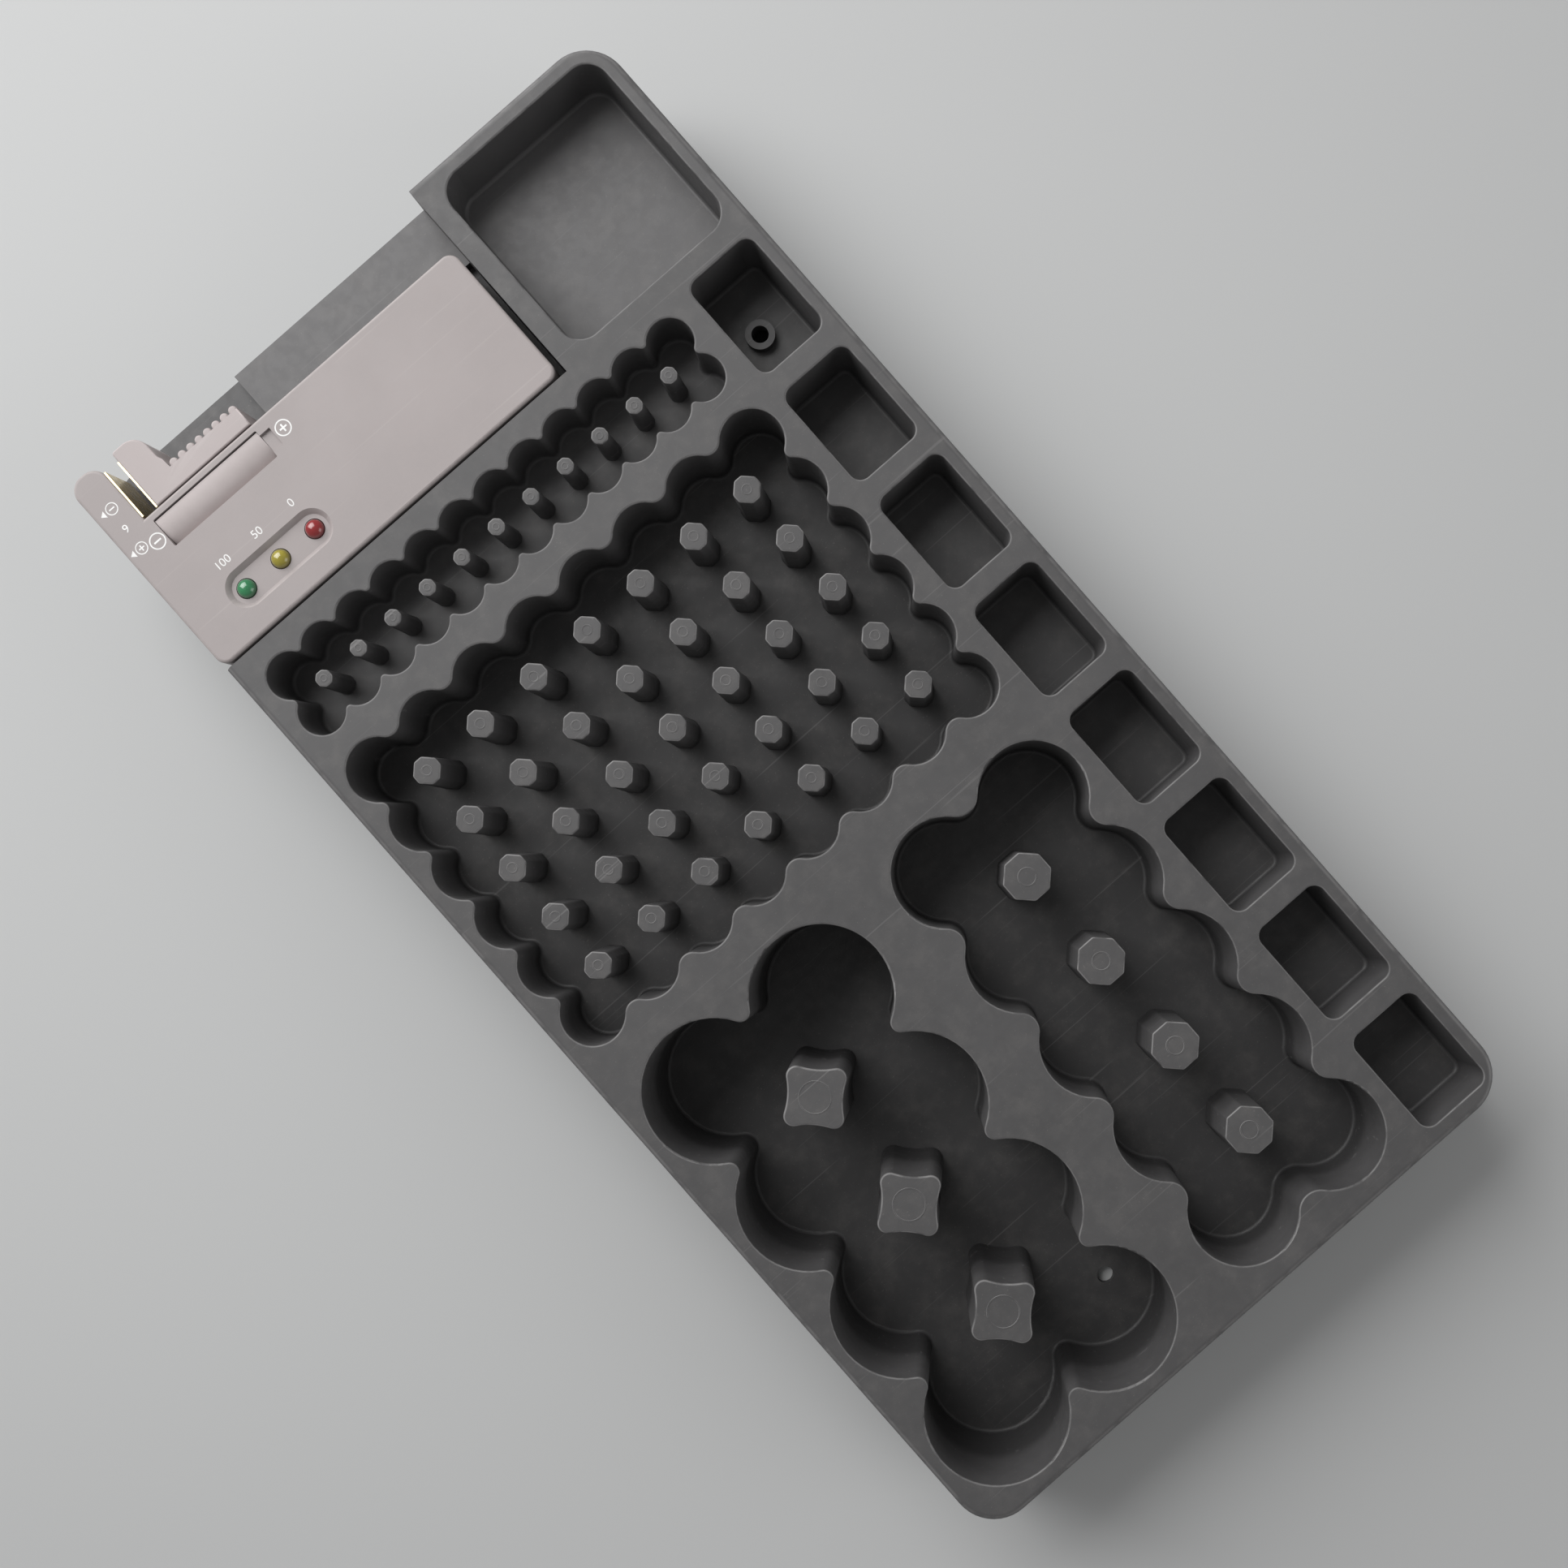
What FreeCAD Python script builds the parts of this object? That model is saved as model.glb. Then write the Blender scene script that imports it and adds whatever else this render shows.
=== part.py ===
import FreeCAD, Part
import math
import os
import re
from FreeCAD import Vector

# A battery organiser tray with a removable battery tester.
# +X points to the column of flat-cell pockets, +Y to the tester end, +Z up.
# The origin is at the middle of the tray's base. Lengths are in millimetres.

SIZES = (
    # The tray
    ("tray_height", "40", "base to deck"),
    ("corner_radius", "11", "outer corners seen from above"),
    ("side_rim", "4", "deck outside the wells, along the long sides"),
    ("end_rim", "4.4", "deck outside the wells, along the short ends"),
    ("deck_edge_round", "1.8", "rounding of the outer top edge"),
    ("rim_round", "0.5", "rounding of the well rims"),
    ("floor_round", "1", "rounding between well walls and floors"),
    ("floor_thickness", "2", "floors of the raised wells"),
    ("rib_thickness", "2.2", "ribs under the raised wells"),
    ("rib_spacing", "32", "widest cell between the ribs"),
    ("rib_corner", "7", "corner radius of those cells"),
    ("well_draft", "1", "draft of well walls and pegs, degrees"),
    ("peg_drop", "0.3", "peg tops below the deck"),
    # The wells, each kind in rows along X joined by open necks
    ("aa_columns", "8", "AA wells along X"),
    ("aa_rows", "6", "AA wells along Y"),
    ("aa_gap_x", "1.4", "AA well to AA well along X, under 0 where they run together"),
    ("aa_gap_y", "-0.1", "AA well to AA well along Y"),
    ("aa_radius", "7.9", "AA well"),
    ("aa_neck", "8", "width of the necks between AA wells"),
    ("aa_depth", "23", "AA well"),
    ("aaa_columns", "12", "AAA wells along X"),
    ("aaa_rows", "2", "AAA wells along Y"),
    ("aaa_gap_x", "-0.58", "AAA well to AAA well along X"),
    ("aaa_gap_y", "-0.3", "AAA well to AAA well along Y"),
    ("aaa_radius", "5.85", "AAA well"),
    ("aaa_neck", "6.2", "width of the necks between AAA wells"),
    ("aaa_depth", "17", "AAA well"),
    ("c_columns", "2", "C wells along X"),
    ("c_rows", "5", "C wells along Y"),
    ("c_gap_x", "0.9", "C well to C well along X"),
    ("c_gap_y", "0.2", "C well to C well along Y"),
    ("c_radius", "13.5", "C well"),
    ("c_neck", "14.6", "width of the necks between C wells"),
    ("c_depth", "29", "C well"),
    ("d_columns", "2", "D wells along X"),
    ("d_rows", "4", "D wells along Y"),
    ("d_gap_x", "-0.65", "D well to D well along X"),
    ("d_gap_y", "-0.65", "D well to D well along Y"),
    ("d_radius", "17.6", "D well"),
    ("d_neck", "15.6", "width of the necks between D wells"),
    ("d_floor", "2.5", "floor under the D wells"),
    ("d_c_web", "11.55", "deck between the D and C wells"),
    ("d_aa_web", "8.1", "deck between the D and AA wells"),
    ("aa_aaa_web", "6", "deck between the AA and AAA wells"),
    ("aaa_bay_web", "5.35", "deck between the AAA wells and the tester bay"),
    # The flat-cell pockets and the bin
    ("flat_count", "8", "flat-cell pockets"),
    ("flat_width", "19.8", "pocket along X"),
    ("flat_length", "28.7", "pocket along Y"),
    ("flat_gap", "6.03", "deck between two pockets"),
    ("flat_depth", "20", "pocket"),
    ("flat_corner", "3", "pocket corner radius"),
    ("flat_web", "4.6", "deck between the round wells and the pockets"),
    ("bin_web", "6.2", "deck between the pockets and the bin"),
    ("bin_wall", "5.5", "wall between the bin and the tester bay"),
    ("bin_length", "51.79", "bin along Y"),
    ("bin_corner", "6", "bin corner radius"),
    ("bin_depth", "16", "bin"),
    # The wall-mounting holes
    ("mount_radius", "2.2", "screw hole"),
    ("mount_boss_radius", "3.8", "raised ring in the last flat-cell pocket"),
    ("mount_boss_height", "2.5", "raised ring above the pocket floor"),
    ("mount_boss_x", "-1.8", "ring from its pocket's middle"),
    ("mount_boss_y", "-1", "ring from its pocket's middle"),
    ("mount_hole_x", "4.1", "hole from its D well's middle"),
    ("mount_hole_y", "-1.2", "hole from its D well's middle"),
    # The tester bay
    ("bay_end_gap", "1.7", "tester to the bin wall"),
    ("bay_front_gap", "0.7", "tester to the bay's front wall"),
    ("bay_side_gap", "0.1", "tester inside the tray's outer sides"),
    ("tester_rise", "0.5", "tester above the deck"),
    ("seat_gap", "0.2", "tester above the bay floor"),
    ("ledge_drop", "14", "test ledge below the deck"),
    ("ledge_start", "46.8", "start of the ledge from the tray's outer side"),
    ("ledge_gap", "0.6", "tester to the ledge's front"),
    # The tester case
    ("tester_length", "108", "case along X"),
    ("tester_width", "39.8", "case along Y, without its post"),
    ("tester_height", "17.8", "cover and case together"),
    ("case_corner", "3", "case corner radius"),
    ("case_edge_round", "0.8", "case top edge"),
    ("case_wall", "1.8", "case sides"),
    ("case_top", "1.6", "case top plate"),
    ("cover_thickness", "2", "back cover"),
    ("post_width", "9.3", "contact post along X"),
    ("post_length", "17.9", "contact post behind the case"),
    ("post_corner", "4.2", "corner radius at the post's end"),
    ("window_start", "10.7", "window from the case's outer end"),
    ("window_length", "32.9", "window along X"),
    ("window_width", "8.2", "window along Y"),
    ("notch_length", "3", "shallow notch at the window's end"),
    ("notch_width", "5", "shallow notch at the window's end"),
    ("notch_depth", "0.8", "shallow notch at the window's end"),
    ("lamp_dish_end", "2.3", "recess past the first and last lamp"),
    ("lamp_dish_side", "2.6", "recess beside the lamps"),
    ("lamp_dish_depth", "1.2", "recess round the lamps"),
    ("lamp_dish_slope", "45", "slope of the recess walls, degrees"),
    ("lamp_start", "16.7", "first lamp from the case's outer end"),
    ("lamp_front", "11.1", "lamps from the case's front"),
    ("lamp_pitch", "10.95", "lamp to lamp"),
    ("lamp_radius", "2.45", "lamp lens"),
    ("lamp_rise", "1.9", "lamp top above the recess floor"),
    ("lamp_clearance", "0.1", "lamp in its hole"),
    ("lamp_flange", "0.45", "rim at the lamp's base"),
    ("lamp_body", "7", "lamp from its base to its top"),
    ("leg_side", "0.5", "lamp and resistor legs"),
    ("leg_spread", "2.54", "lamp leg to lamp leg"),
    # Screws
    ("boss_radius", "2.6", "screw bosses in the case"),
    ("boss_inset", "5.4", "screw bosses from the case's sides"),
    ("screw_radius", "1.1", "case screws"),
    ("screw_length", "9", "case screws under the head"),
    ("screw_head_radius", "2.1", "case screws"),
    ("screw_head_height", "1.1", "case screws"),
    ("screw_clearance", "0.1", "screws in their holes"),
    # The slider
    ("slider_end_play", "1.6", "carriage to the case's far wall, fully open"),
    ("slider_ledge_gap", "0.8", "slider above the test ledge"),
    ("slider_case_gap", "0.35", "slider behind the case"),
    ("slider_top_drop", "0.2", "slider top below the case top"),
    ("contact_gap", "3.5", "between the two contact plates, closed"),
    ("contact_thickness", "0.45", "contact plates"),
    ("contact_inset", "3.2", "contact plates inside the post's end"),
    ("contact_clearance", "0.1", "contact pads and stems in their holes"),
    ("stem_back", "7", "fixed contact's stem behind the case"),
    ("stem_reach", "1.6", "fixed contact's stem inside the wall"),
    ("tongue_width", "7.9", "upright tongue along X"),
    ("tongue_round", "4.5", "tongue's rear corner"),
    ("tongue_short", "0.7", "tongue's end inside the post's end"),
    ("bar_length", "22.2", "thumb bar along X"),
    ("bar_width", "6.6", "thumb bar along Y"),
    ("bar_blend", "3", "hollow between tongue and bar"),
    ("tooth_count", "7", "grooves in the thumb bar"),
    ("tooth_pitch", "2.7", "groove to groove"),
    ("tooth_width", "1.2", "groove"),
    ("tooth_depth", "1.5", "groove"),
    ("carriage_width", "7.2", "carriage along Y"),
    ("carriage_overlap", "2", "carriage past the window's ends"),
    ("carriage_top_gap", "0.3", "carriage under the top plate"),
    ("carriage_wall_gap", "0.5", "carriage to the rear wall"),
    ("carriage_lift", "3.5", "carriage above the cover"),
    ("web_height", "3.5", "web from the carriage to the thumb bar"),
    ("web_lift", "1.7", "web above the slider's underside"),
    ("web_inset", "1", "web inside the tongue and bar ends"),
    ("web_gap", "0.3", "web in its slot"),
    ("rod_radius", "1.25", "guide rod"),
    ("rod_clearance", "0.05", "guide rod in the carriage"),
    ("rod_socket", "0.9", "guide rod into the case ends"),
    ("spring_bore", "2.6", "bore for the spring in the carriage"),
    ("spring_radius", "1.9", "coil middle line"),
    ("spring_wire", "0.4", "wire diameter"),
    ("spring_turns", "22", "coils"),
    ("spring_wall", "2", "carriage end that holds the spring"),
    ("rail_width", "4", "contact rail"),
    ("rail_thickness", "0.4", "contact rail"),
    ("wiper_thickness", "0.3", "wiper"),
    ("wiper_flat", "4", "wiper under the carriage"),
    ("wiper_heel", "9.6", "wiper from its start to where it rubs"),
    ("wiper_length", "12", "wiper"),
    ("wiper_tip", "0.6", "wiper's end above where it rubs"),
    ("wiper_gap", "0.1", "wiper above the rail"),
    # The end contacts for nine-volt cells
    ("snap_spacing", "12.7", "contact to contact"),
    ("snap_middle", "40.9", "between the contacts, from the case's front"),
    ("snap_height", "7.5", "contacts above the tester's underside"),
    ("snap_pad", "6", "contact pad side"),
    ("snap_thickness", "0.5", "contact pad"),
    ("snap_stem", "2.4", "contact stem side"),
    ("snap_reach", "3.2", "contact stem inside the wall"),
    # The circuit board
    ("board_start", "10.5", "board from the case's outer end"),
    ("board_end", "19.5", "board from the case's inner end"),
    ("board_front", "4.6", "board from the case's front"),
    ("board_back_gap", "3.7", "board to the carriage"),
    ("board_corner", "1", "board corner radius"),
    ("board_thickness", "1.6", "board"),
    ("board_lift", "3.4", "board above the cover"),
    ("standoff_radius", "2.6", "board standoffs"),
    ("board_screw_radius", "0.95", "board screws"),
    ("board_screw_length", "4.2", "board screws under the head"),
    ("board_screw_head_radius", "1.9", "board screws"),
    ("board_screw_head_height", "1.2", "board screws"),
    ("board_screw_inset", "3.2", "board screws from the board's edges"),
    ("chip_length", "6.2", "control chip"),
    ("chip_width", "5.2", "control chip"),
    ("chip_height", "1.6", "control chip"),
    ("chip_round", "0.25", "control chip's top edges"),
    ("chip_from_end", "29.6", "control chip's middle from the board's end"),
    ("chip_from_front", "11", "control chip's middle from the board's front"),
    ("coil_radius", "3.4", "boost coil"),
    ("coil_height", "4.6", "boost coil"),
    ("coil_flange", "0.8", "boost coil's end flanges"),
    ("coil_from_end", "19.5", "boost coil's middle from the board's end"),
    ("coil_from_front", "9.9", "boost coil's middle from the board's front"),
    ("capacitor_radius", "2.5", "smoothing capacitor"),
    ("capacitor_round", "0.5", "smoothing capacitor's top edge"),
    ("capacitor_top_gap", "3", "smoothing capacitor under the top plate"),
    ("capacitor_from_end", "10.1", "capacitor's middle from the board's end"),
    ("capacitor_from_front", "11", "capacitor's middle from the board's front"),
    ("resistor_count", "5", "small resistors"),
    ("resistor_length", "3.2", "small resistor"),
    ("resistor_width", "1.6", "small resistor"),
    ("resistor_height", "0.6", "small resistor"),
    ("resistor_pitch", "4.2", "small resistor to small resistor"),
    ("resistor_from_start", "9.4", "first small resistor from the board's start"),
    ("resistor_from_front", "2.6", "small resistors from the board's front"),
    ("load_radius", "1.9", "load resistor"),
    ("load_length", "9", "load resistor"),
    ("load_lift", "0.6", "load resistor above the board"),
    ("load_leg_reach", "0.75", "load resistor's wire past its ends"),
    ("load_from_start", "23.4", "load resistor from the board's start"),
    ("load_from_back", "3.3", "load resistor's middle from the board's back"),
)

doc = FreeCAD.newDocument("battery_tester")
sheet = doc.addObject("Spreadsheet::Sheet", "Sizes")
for row, (alias, value, meaning) in enumerate(SIZES, start=1):
    sheet.set(f"A{row}", meaning)
    sheet.set(f"B{row}", value)
    sheet.setAlias(f"B{row}", alias)
doc.recompute()


# Helpers

def bind(thing, prop, expression):
    """Ties a property to the sheet; the expression names its cells."""
    thing.setExpression(prop, re.sub(r"[a-z][a-z0-9_]*", r"Sizes.\g<0>", expression))


def set_size(thing, prop, size):
    """A size is a number, or words that name cells of the sheet."""
    if isinstance(size, str):
        bind(thing, prop, size)
    else:
        setattr(thing, prop, size)


def new_body(label):
    body = doc.addObject("PartDesign::Body", label)
    body.Label = label
    return body


def origin_of(body, role):
    return [part for part in body.Origin.OriginFeatures if part.Role == role][0]


def draw(body, name, geometry, level=0.0, plane="XY_Plane"):
    """A sketch on one of the body's own planes, raised to a level."""
    sketch = body.newObject("Sketcher::SketchObject", name)
    sketch.AttachmentSupport = [(origin_of(body, plane), "")]
    sketch.MapMode = "FlatFace"
    sketch.AttachmentOffset = FreeCAD.Placement(Vector(0, 0, level), FreeCAD.Rotation())
    for curve in geometry:
        sketch.addGeometry(curve, False)
    return sketch


def pad(body, name, geometry, level, length, taper=None):
    """Adds material upwards from a level."""
    feature = body.newObject("PartDesign::Pad", name)
    feature.Profile = draw(body, name + "_outline", geometry, level)
    bind(feature, "Length", length)
    if taper:
        bind(feature, "TaperAngle", taper)
    doc.recompute()
    return feature


def pocket(body, name, geometry, level, depth, upwards=False, taper=None):
    """Cuts downwards from a level, or upwards from it."""
    before = body.Shape.Volume
    feature = body.newObject("PartDesign::Pocket", name)
    feature.Profile = draw(body, name + "_outline", geometry, level)
    feature.Reversed = upwards
    bind(feature, "Length", depth)
    if taper:
        bind(feature, "TaperAngle", taper)
    doc.recompute()
    if body.Shape.Volume >= before:
        raise RuntimeError(f"{body.Label}: {name} cuts nothing")
    return feature


def round_edges(body, name, radius, wanted):
    """Rounds every edge of the body that a test picks."""
    names = [f"Edge{n}" for n, edge in enumerate(body.Shape.Edges, start=1) if wanted(edge)]
    base = body.Tip
    feature = body.newObject("PartDesign::Fillet", name)
    feature.Base = (base, names)
    bind(feature, "Radius", radius)
    doc.recompute()
    return feature


def middle_of(edge):
    return edge.valueAt((edge.FirstParameter + edge.LastParameter) / 2)


def at_level(edge, level):
    box = edge.BoundBox
    return abs(box.ZMin - level) < 1e-4 and abs(box.ZMax - level) < 1e-4


def circle(x, y, radius):
    return Part.Circle(Vector(x, y, 0), Vector(0, 0, 1), radius)


def arc(x, y, radius, start, end):
    return Part.ArcOfCircle(circle(x, y, radius), start, end)


def rounded_polygon(corners):
    """Lines and arcs round a polygon, counter-clockwise; each corner is (x, y, radius)."""
    count = len(corners)
    ends = []
    curves = []
    for index, (x, y, radius) in enumerate(corners):
        here = Vector(x, y, 0)
        before = Vector(*corners[index - 1][:2], 0)
        after = Vector(*corners[(index + 1) % count][:2], 0)
        back = (before - here).normalize()
        ahead = (after - here).normalize()
        if radius <= 0:
            ends.append((here, here))
            continue
        half = back.getAngle(ahead) / 2
        reach = radius / math.tan(half)
        middle = here + (back + ahead).normalize() * (radius / math.sin(half))
        first = here + back * reach
        last = here + ahead * reach
        bend = middle + (here - middle).normalize() * radius
        curves.append(Part.Arc(first, bend, last))
        ends.append((first, last))
    for index in range(count):
        start = ends[index][1]
        stop = ends[(index + 1) % count][0]
        if start.distanceToPoint(stop) > 1e-6:
            curves.append(Part.LineSegment(start, stop))
    return curves


def rounded_rectangle(x_low, y_low, x_high, y_high, radius):
    corners = ((x_low, y_low), (x_high, y_low), (x_high, y_high), (x_low, y_high))
    return rounded_polygon([(x, y, radius) for x, y in corners])


class Zone:
    """One kind of round wells in a grid, joined by necks."""

    def __init__(self, kind, depth):
        self.kind = kind
        self.depth = depth
        self.columns = int(sheet.get(kind + "_columns"))
        self.rows = int(sheet.get(kind + "_rows"))
        self.radius = float(sheet.get(kind + "_radius"))
        self.pitch_x = 2 * self.radius + float(sheet.get(kind + "_gap_x"))
        self.pitch_y = 2 * self.radius + float(sheet.get(kind + "_gap_y"))
        self.half_neck = float(sheet.get(kind + "_neck")) / 2
        self.width = (self.columns - 1) * self.pitch_x + 2 * self.radius
        self.length = (self.rows - 1) * self.pitch_y + 2 * self.radius

    def place(self, x_low, y_low):
        """Puts the zone's lower corner somewhere on the deck."""
        self.x_low = x_low
        self.y_low = y_low
        self.x_high = x_low + self.width
        self.y_high = y_low + self.length
        self.first_x = x_low + self.radius
        self.first_y = y_low + self.radius

    def tip_radius(self, pitch, inwards):
        """The full round between two neighbouring wells, tangent to both."""
        well = self.radius - inwards
        neck = self.half_neck - inwards
        return ((pitch / 2) ** 2 + neck ** 2 - well ** 2) / (2 * (well - neck))

    def tip_angle(self, pitch):
        """Where a well's wall meets that round, seen from the well's centre."""
        tip = self.tip_radius(pitch, 0)
        return math.acos(pitch / 2 / (self.radius + tip))

    def outline(self):
        """The zone's rim: well arcs outside, full rounds between them."""
        last_x = self.first_x + (self.columns - 1) * self.pitch_x
        last_y = self.first_y + (self.rows - 1) * self.pitch_y
        along_x = self.tip_angle(self.pitch_x)
        along_y = self.tip_angle(self.pitch_y)
        tip_x = self.tip_radius(self.pitch_x, 0)
        tip_y = self.tip_radius(self.pitch_y, 0)
        quarter = math.pi / 2
        curves = []
        for sign, y in ((-1, self.first_y), (1, last_y)):
            turn = sign * quarter
            for column in range(1, self.columns - 1):
                x = self.first_x + column * self.pitch_x
                spread = quarter - along_x
                curves.append(arc(x, y, self.radius, turn - spread, turn + spread))
            for column in range(self.columns - 1):
                x = self.first_x + (column + 0.5) * self.pitch_x
                spread = quarter - along_x
                centre_y = y + sign * (self.half_neck + tip_x)
                curves.append(arc(x, centre_y, tip_x, -turn - spread, -turn + spread))
        for sign, x in ((-1, self.first_x), (1, last_x)):
            turn = 0 if sign > 0 else math.pi
            for line in range(1, self.rows - 1):
                y = self.first_y + line * self.pitch_y
                spread = quarter - along_y
                curves.append(arc(x, y, self.radius, turn - spread, turn + spread))
            for line in range(self.rows - 1):
                y = self.first_y + (line + 0.5) * self.pitch_y
                spread = quarter - along_y
                centre_x = x + sign * (self.half_neck + tip_y)
                curves.append(arc(centre_x, y, tip_y, turn + math.pi - spread, turn + math.pi + spread))
        for sign_x, x in ((-1, self.first_x), (1, last_x)):
            for sign_y, y in ((-1, self.first_y), (1, last_y)):
                curves.append(self.corner_arc(x, y, sign_x, sign_y, along_x, along_y))
        return curves

    def corner_arc(self, x, y, sign_x, sign_y, along_x, along_y):
        """A corner well's wall, from the neck beside it to the neck above or below it."""
        beside = math.atan2(sign_y * math.sin(along_x), -sign_x * math.cos(along_x))
        above = math.atan2(-sign_y * math.cos(along_y), sign_x * math.sin(along_y))
        start, end = (above, beside) if sign_x * sign_y > 0 else (beside, above)
        if end < start:
            end += 2 * math.pi
        return arc(x, y, self.radius, start, end)

    def peg_outline(self, inwards):
        """The first peg: four well arcs and four full rounds, grown as the wells close in."""
        x = self.first_x + self.pitch_x / 2
        y = self.first_y + self.pitch_y / 2
        well = self.radius - inwards
        neck = self.half_neck - inwards
        tip_x = self.tip_radius(self.pitch_x, inwards)
        tip_y = self.tip_radius(self.pitch_y, inwards)
        angle_x = math.acos(self.pitch_x / 2 / (well + tip_x))
        angle_y = math.acos(self.pitch_y / 2 / (well + tip_y))
        quarter = math.pi / 2
        curves = []
        for sign_x in (-1, 1):
            turn = 0 if sign_x > 0 else math.pi
            reach = self.pitch_x / 2 - neck - tip_y
            spread = quarter - angle_y
            curves.append(arc(x + sign_x * reach, y, tip_y, turn - spread, turn + spread))
        for sign_y in (-1, 1):
            turn = sign_y * quarter
            reach = self.pitch_y / 2 - neck - tip_x
            spread = quarter - angle_x
            curves.append(arc(x, y + sign_y * reach, tip_x, turn - spread, turn + spread))
        for sign_x in (-1, 1):
            for sign_y in (-1, 1):
                facing = 0 if sign_x < 0 else math.pi
                start, end = angle_x, quarter - angle_y
                if sign_x * sign_y < 0:
                    start, end = -end, -start
                centre_x = x + sign_x * self.pitch_x / 2
                centre_y = y + sign_y * self.pitch_y / 2
                curves.append(arc(centre_x, centre_y, well, facing + start, facing + end))
        return curves


# Layout, worked out from the sizes

deck = sheet.tray_height
aa_zone = Zone("aa", sheet.aa_depth)
aaa_zone = Zone("aaa", sheet.aaa_depth)
c_zone = Zone("c", sheet.c_depth)
d_zone = Zone("d", deck - sheet.d_floor)
zones = (aa_zone, aaa_zone, c_zone, d_zone)
DEPTHS = {"aa": "aa_depth", "aaa": "aaa_depth", "c": "c_depth", "d": "tray_height - d_floor"}
BAY_DEPTH = "tester_height + seat_gap - tester_rise"

# The round wells fill one column, the flat-cell pockets and the bin the other.
large_wells_width = d_zone.width + sheet.d_c_web + c_zone.width
wells_width = max(large_wells_width, aa_zone.width, aaa_zone.width)
tray_width = 2 * sheet.side_rim + wells_width + sheet.flat_web + sheet.flat_width
bay_length = sheet.bay_front_gap + sheet.tester_width + sheet.post_length + sheet.bay_side_gap
large_wells_length = max(d_zone.length, c_zone.length)
webs_length = sheet.d_aa_web + sheet.aa_aaa_web + sheet.aaa_bay_web
small_wells_length = aa_zone.length + aaa_zone.length
wells_length = sheet.end_rim + large_wells_length + small_wells_length + webs_length + bay_length
flat_pitch = sheet.flat_length + sheet.flat_gap
flats_length = (sheet.flat_count - 1) * flat_pitch + sheet.flat_length
pockets_length = 2 * sheet.end_rim + flats_length + sheet.bin_web + sheet.bin_length
tray_length = max(wells_length, pockets_length)
left, right = -tray_width / 2, tray_width / 2
front, back = -tray_length / 2, tray_length / 2

wells_left = left + sheet.side_rim
wells_right = wells_left + wells_width
wells_middle = wells_left + wells_width / 2
bay_front = back - bay_length
aaa_zone.place(wells_middle - aaa_zone.width / 2, bay_front - sheet.aaa_bay_web - aaa_zone.length)
aa_zone.place(wells_middle - aa_zone.width / 2, aaa_zone.y_low - sheet.aa_aaa_web - aa_zone.length)
large_middle = front + sheet.end_rim + large_wells_length / 2
d_zone.place(wells_left, large_middle - d_zone.length / 2)
c_zone.place(wells_right - c_zone.width, large_middle - c_zone.length / 2)

flat_high = right - sheet.side_rim
flat_low = flat_high - sheet.flat_width
flat_starts = [front + sheet.end_rim + n * flat_pitch for n in range(int(sheet.flat_count))]

bay_right = left + sheet.bay_side_gap + sheet.tester_length + sheet.bay_end_gap
bay_floor = deck + sheet.tester_rise - sheet.tester_height - sheet.seat_gap
ledge_left = left + sheet.ledge_start
ledge_top = deck - sheet.ledge_drop
bin_left = bay_right + sheet.bin_wall
bin_back = back - sheet.end_rim
bin_front = bin_back - sheet.bin_length

case_left = left + sheet.bay_side_gap
case_right = case_left + sheet.tester_length
case_front = bay_front + sheet.bay_front_gap
case_back = case_front + sheet.tester_width
post_right = case_left + sheet.post_width
post_back = case_back + sheet.post_length
cover_bottom = bay_floor + sheet.seat_gap
cover_top = cover_bottom + sheet.cover_thickness
case_top = cover_bottom + sheet.tester_height
plate_under = case_top - sheet.case_top
ledge_front = case_back + sheet.ledge_gap

window_left = case_left + sheet.window_start
window_right = window_left + sheet.window_length
window_back = case_back - sheet.case_wall
window_front = window_back - sheet.window_width

rod_y = window_back - sheet.carriage_wall_gap - sheet.carriage_width / 2
rod_z = plate_under - sheet.carriage_top_gap - sheet.carriage_width / 2
rod_start = (case_left + sheet.case_wall - sheet.rod_socket, rod_y, rod_z)
ROD_LENGTH = "tester_length - 2 * case_wall + 2 * rod_socket"
CARRIAGE_LENGTH = "window_length + 2 * carriage_overlap"
carriage_left = window_left - sheet.carriage_overlap
carriage_right = window_right + sheet.carriage_overlap
carriage_front = rod_y - sheet.carriage_width / 2
carriage_back = rod_y + sheet.carriage_width / 2
carriage_bottom = cover_top + sheet.carriage_lift
slider_travel = case_right - sheet.case_wall - sheet.slider_end_play - carriage_right

tongue_left = post_right + 2 * sheet.contact_thickness + sheet.contact_gap
tongue_right = tongue_left + sheet.tongue_width
tongue_back = post_back - sheet.tongue_short
bar_right = tongue_right + sheet.bar_length
bar_front = case_back + sheet.slider_case_gap
bar_back = bar_front + sheet.bar_width
slider_bottom = ledge_top + sheet.slider_ledge_gap
slider_top = case_top - sheet.slider_top_drop
SLIDER_HEIGHT = "tester_rise - slider_top_drop + ledge_drop - slider_ledge_gap"
web_left = tongue_left + sheet.web_inset
web_right = bar_right - sheet.web_inset
web_bottom = slider_bottom + sheet.web_lift
web_top = web_bottom + sheet.web_height

board_left = case_left + sheet.board_start
board_right = case_right - sheet.board_end
board_front = case_front + sheet.board_front
board_back = carriage_front - sheet.board_back_gap
board_bottom = cover_top + sheet.board_lift
board_top = board_bottom + sheet.board_thickness

lamp_y = case_front + sheet.lamp_front
lamp_places = [case_left + sheet.lamp_start + n * sheet.lamp_pitch for n in range(3)]
dish_floor = case_top - sheet.lamp_dish_depth


# The tray

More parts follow.
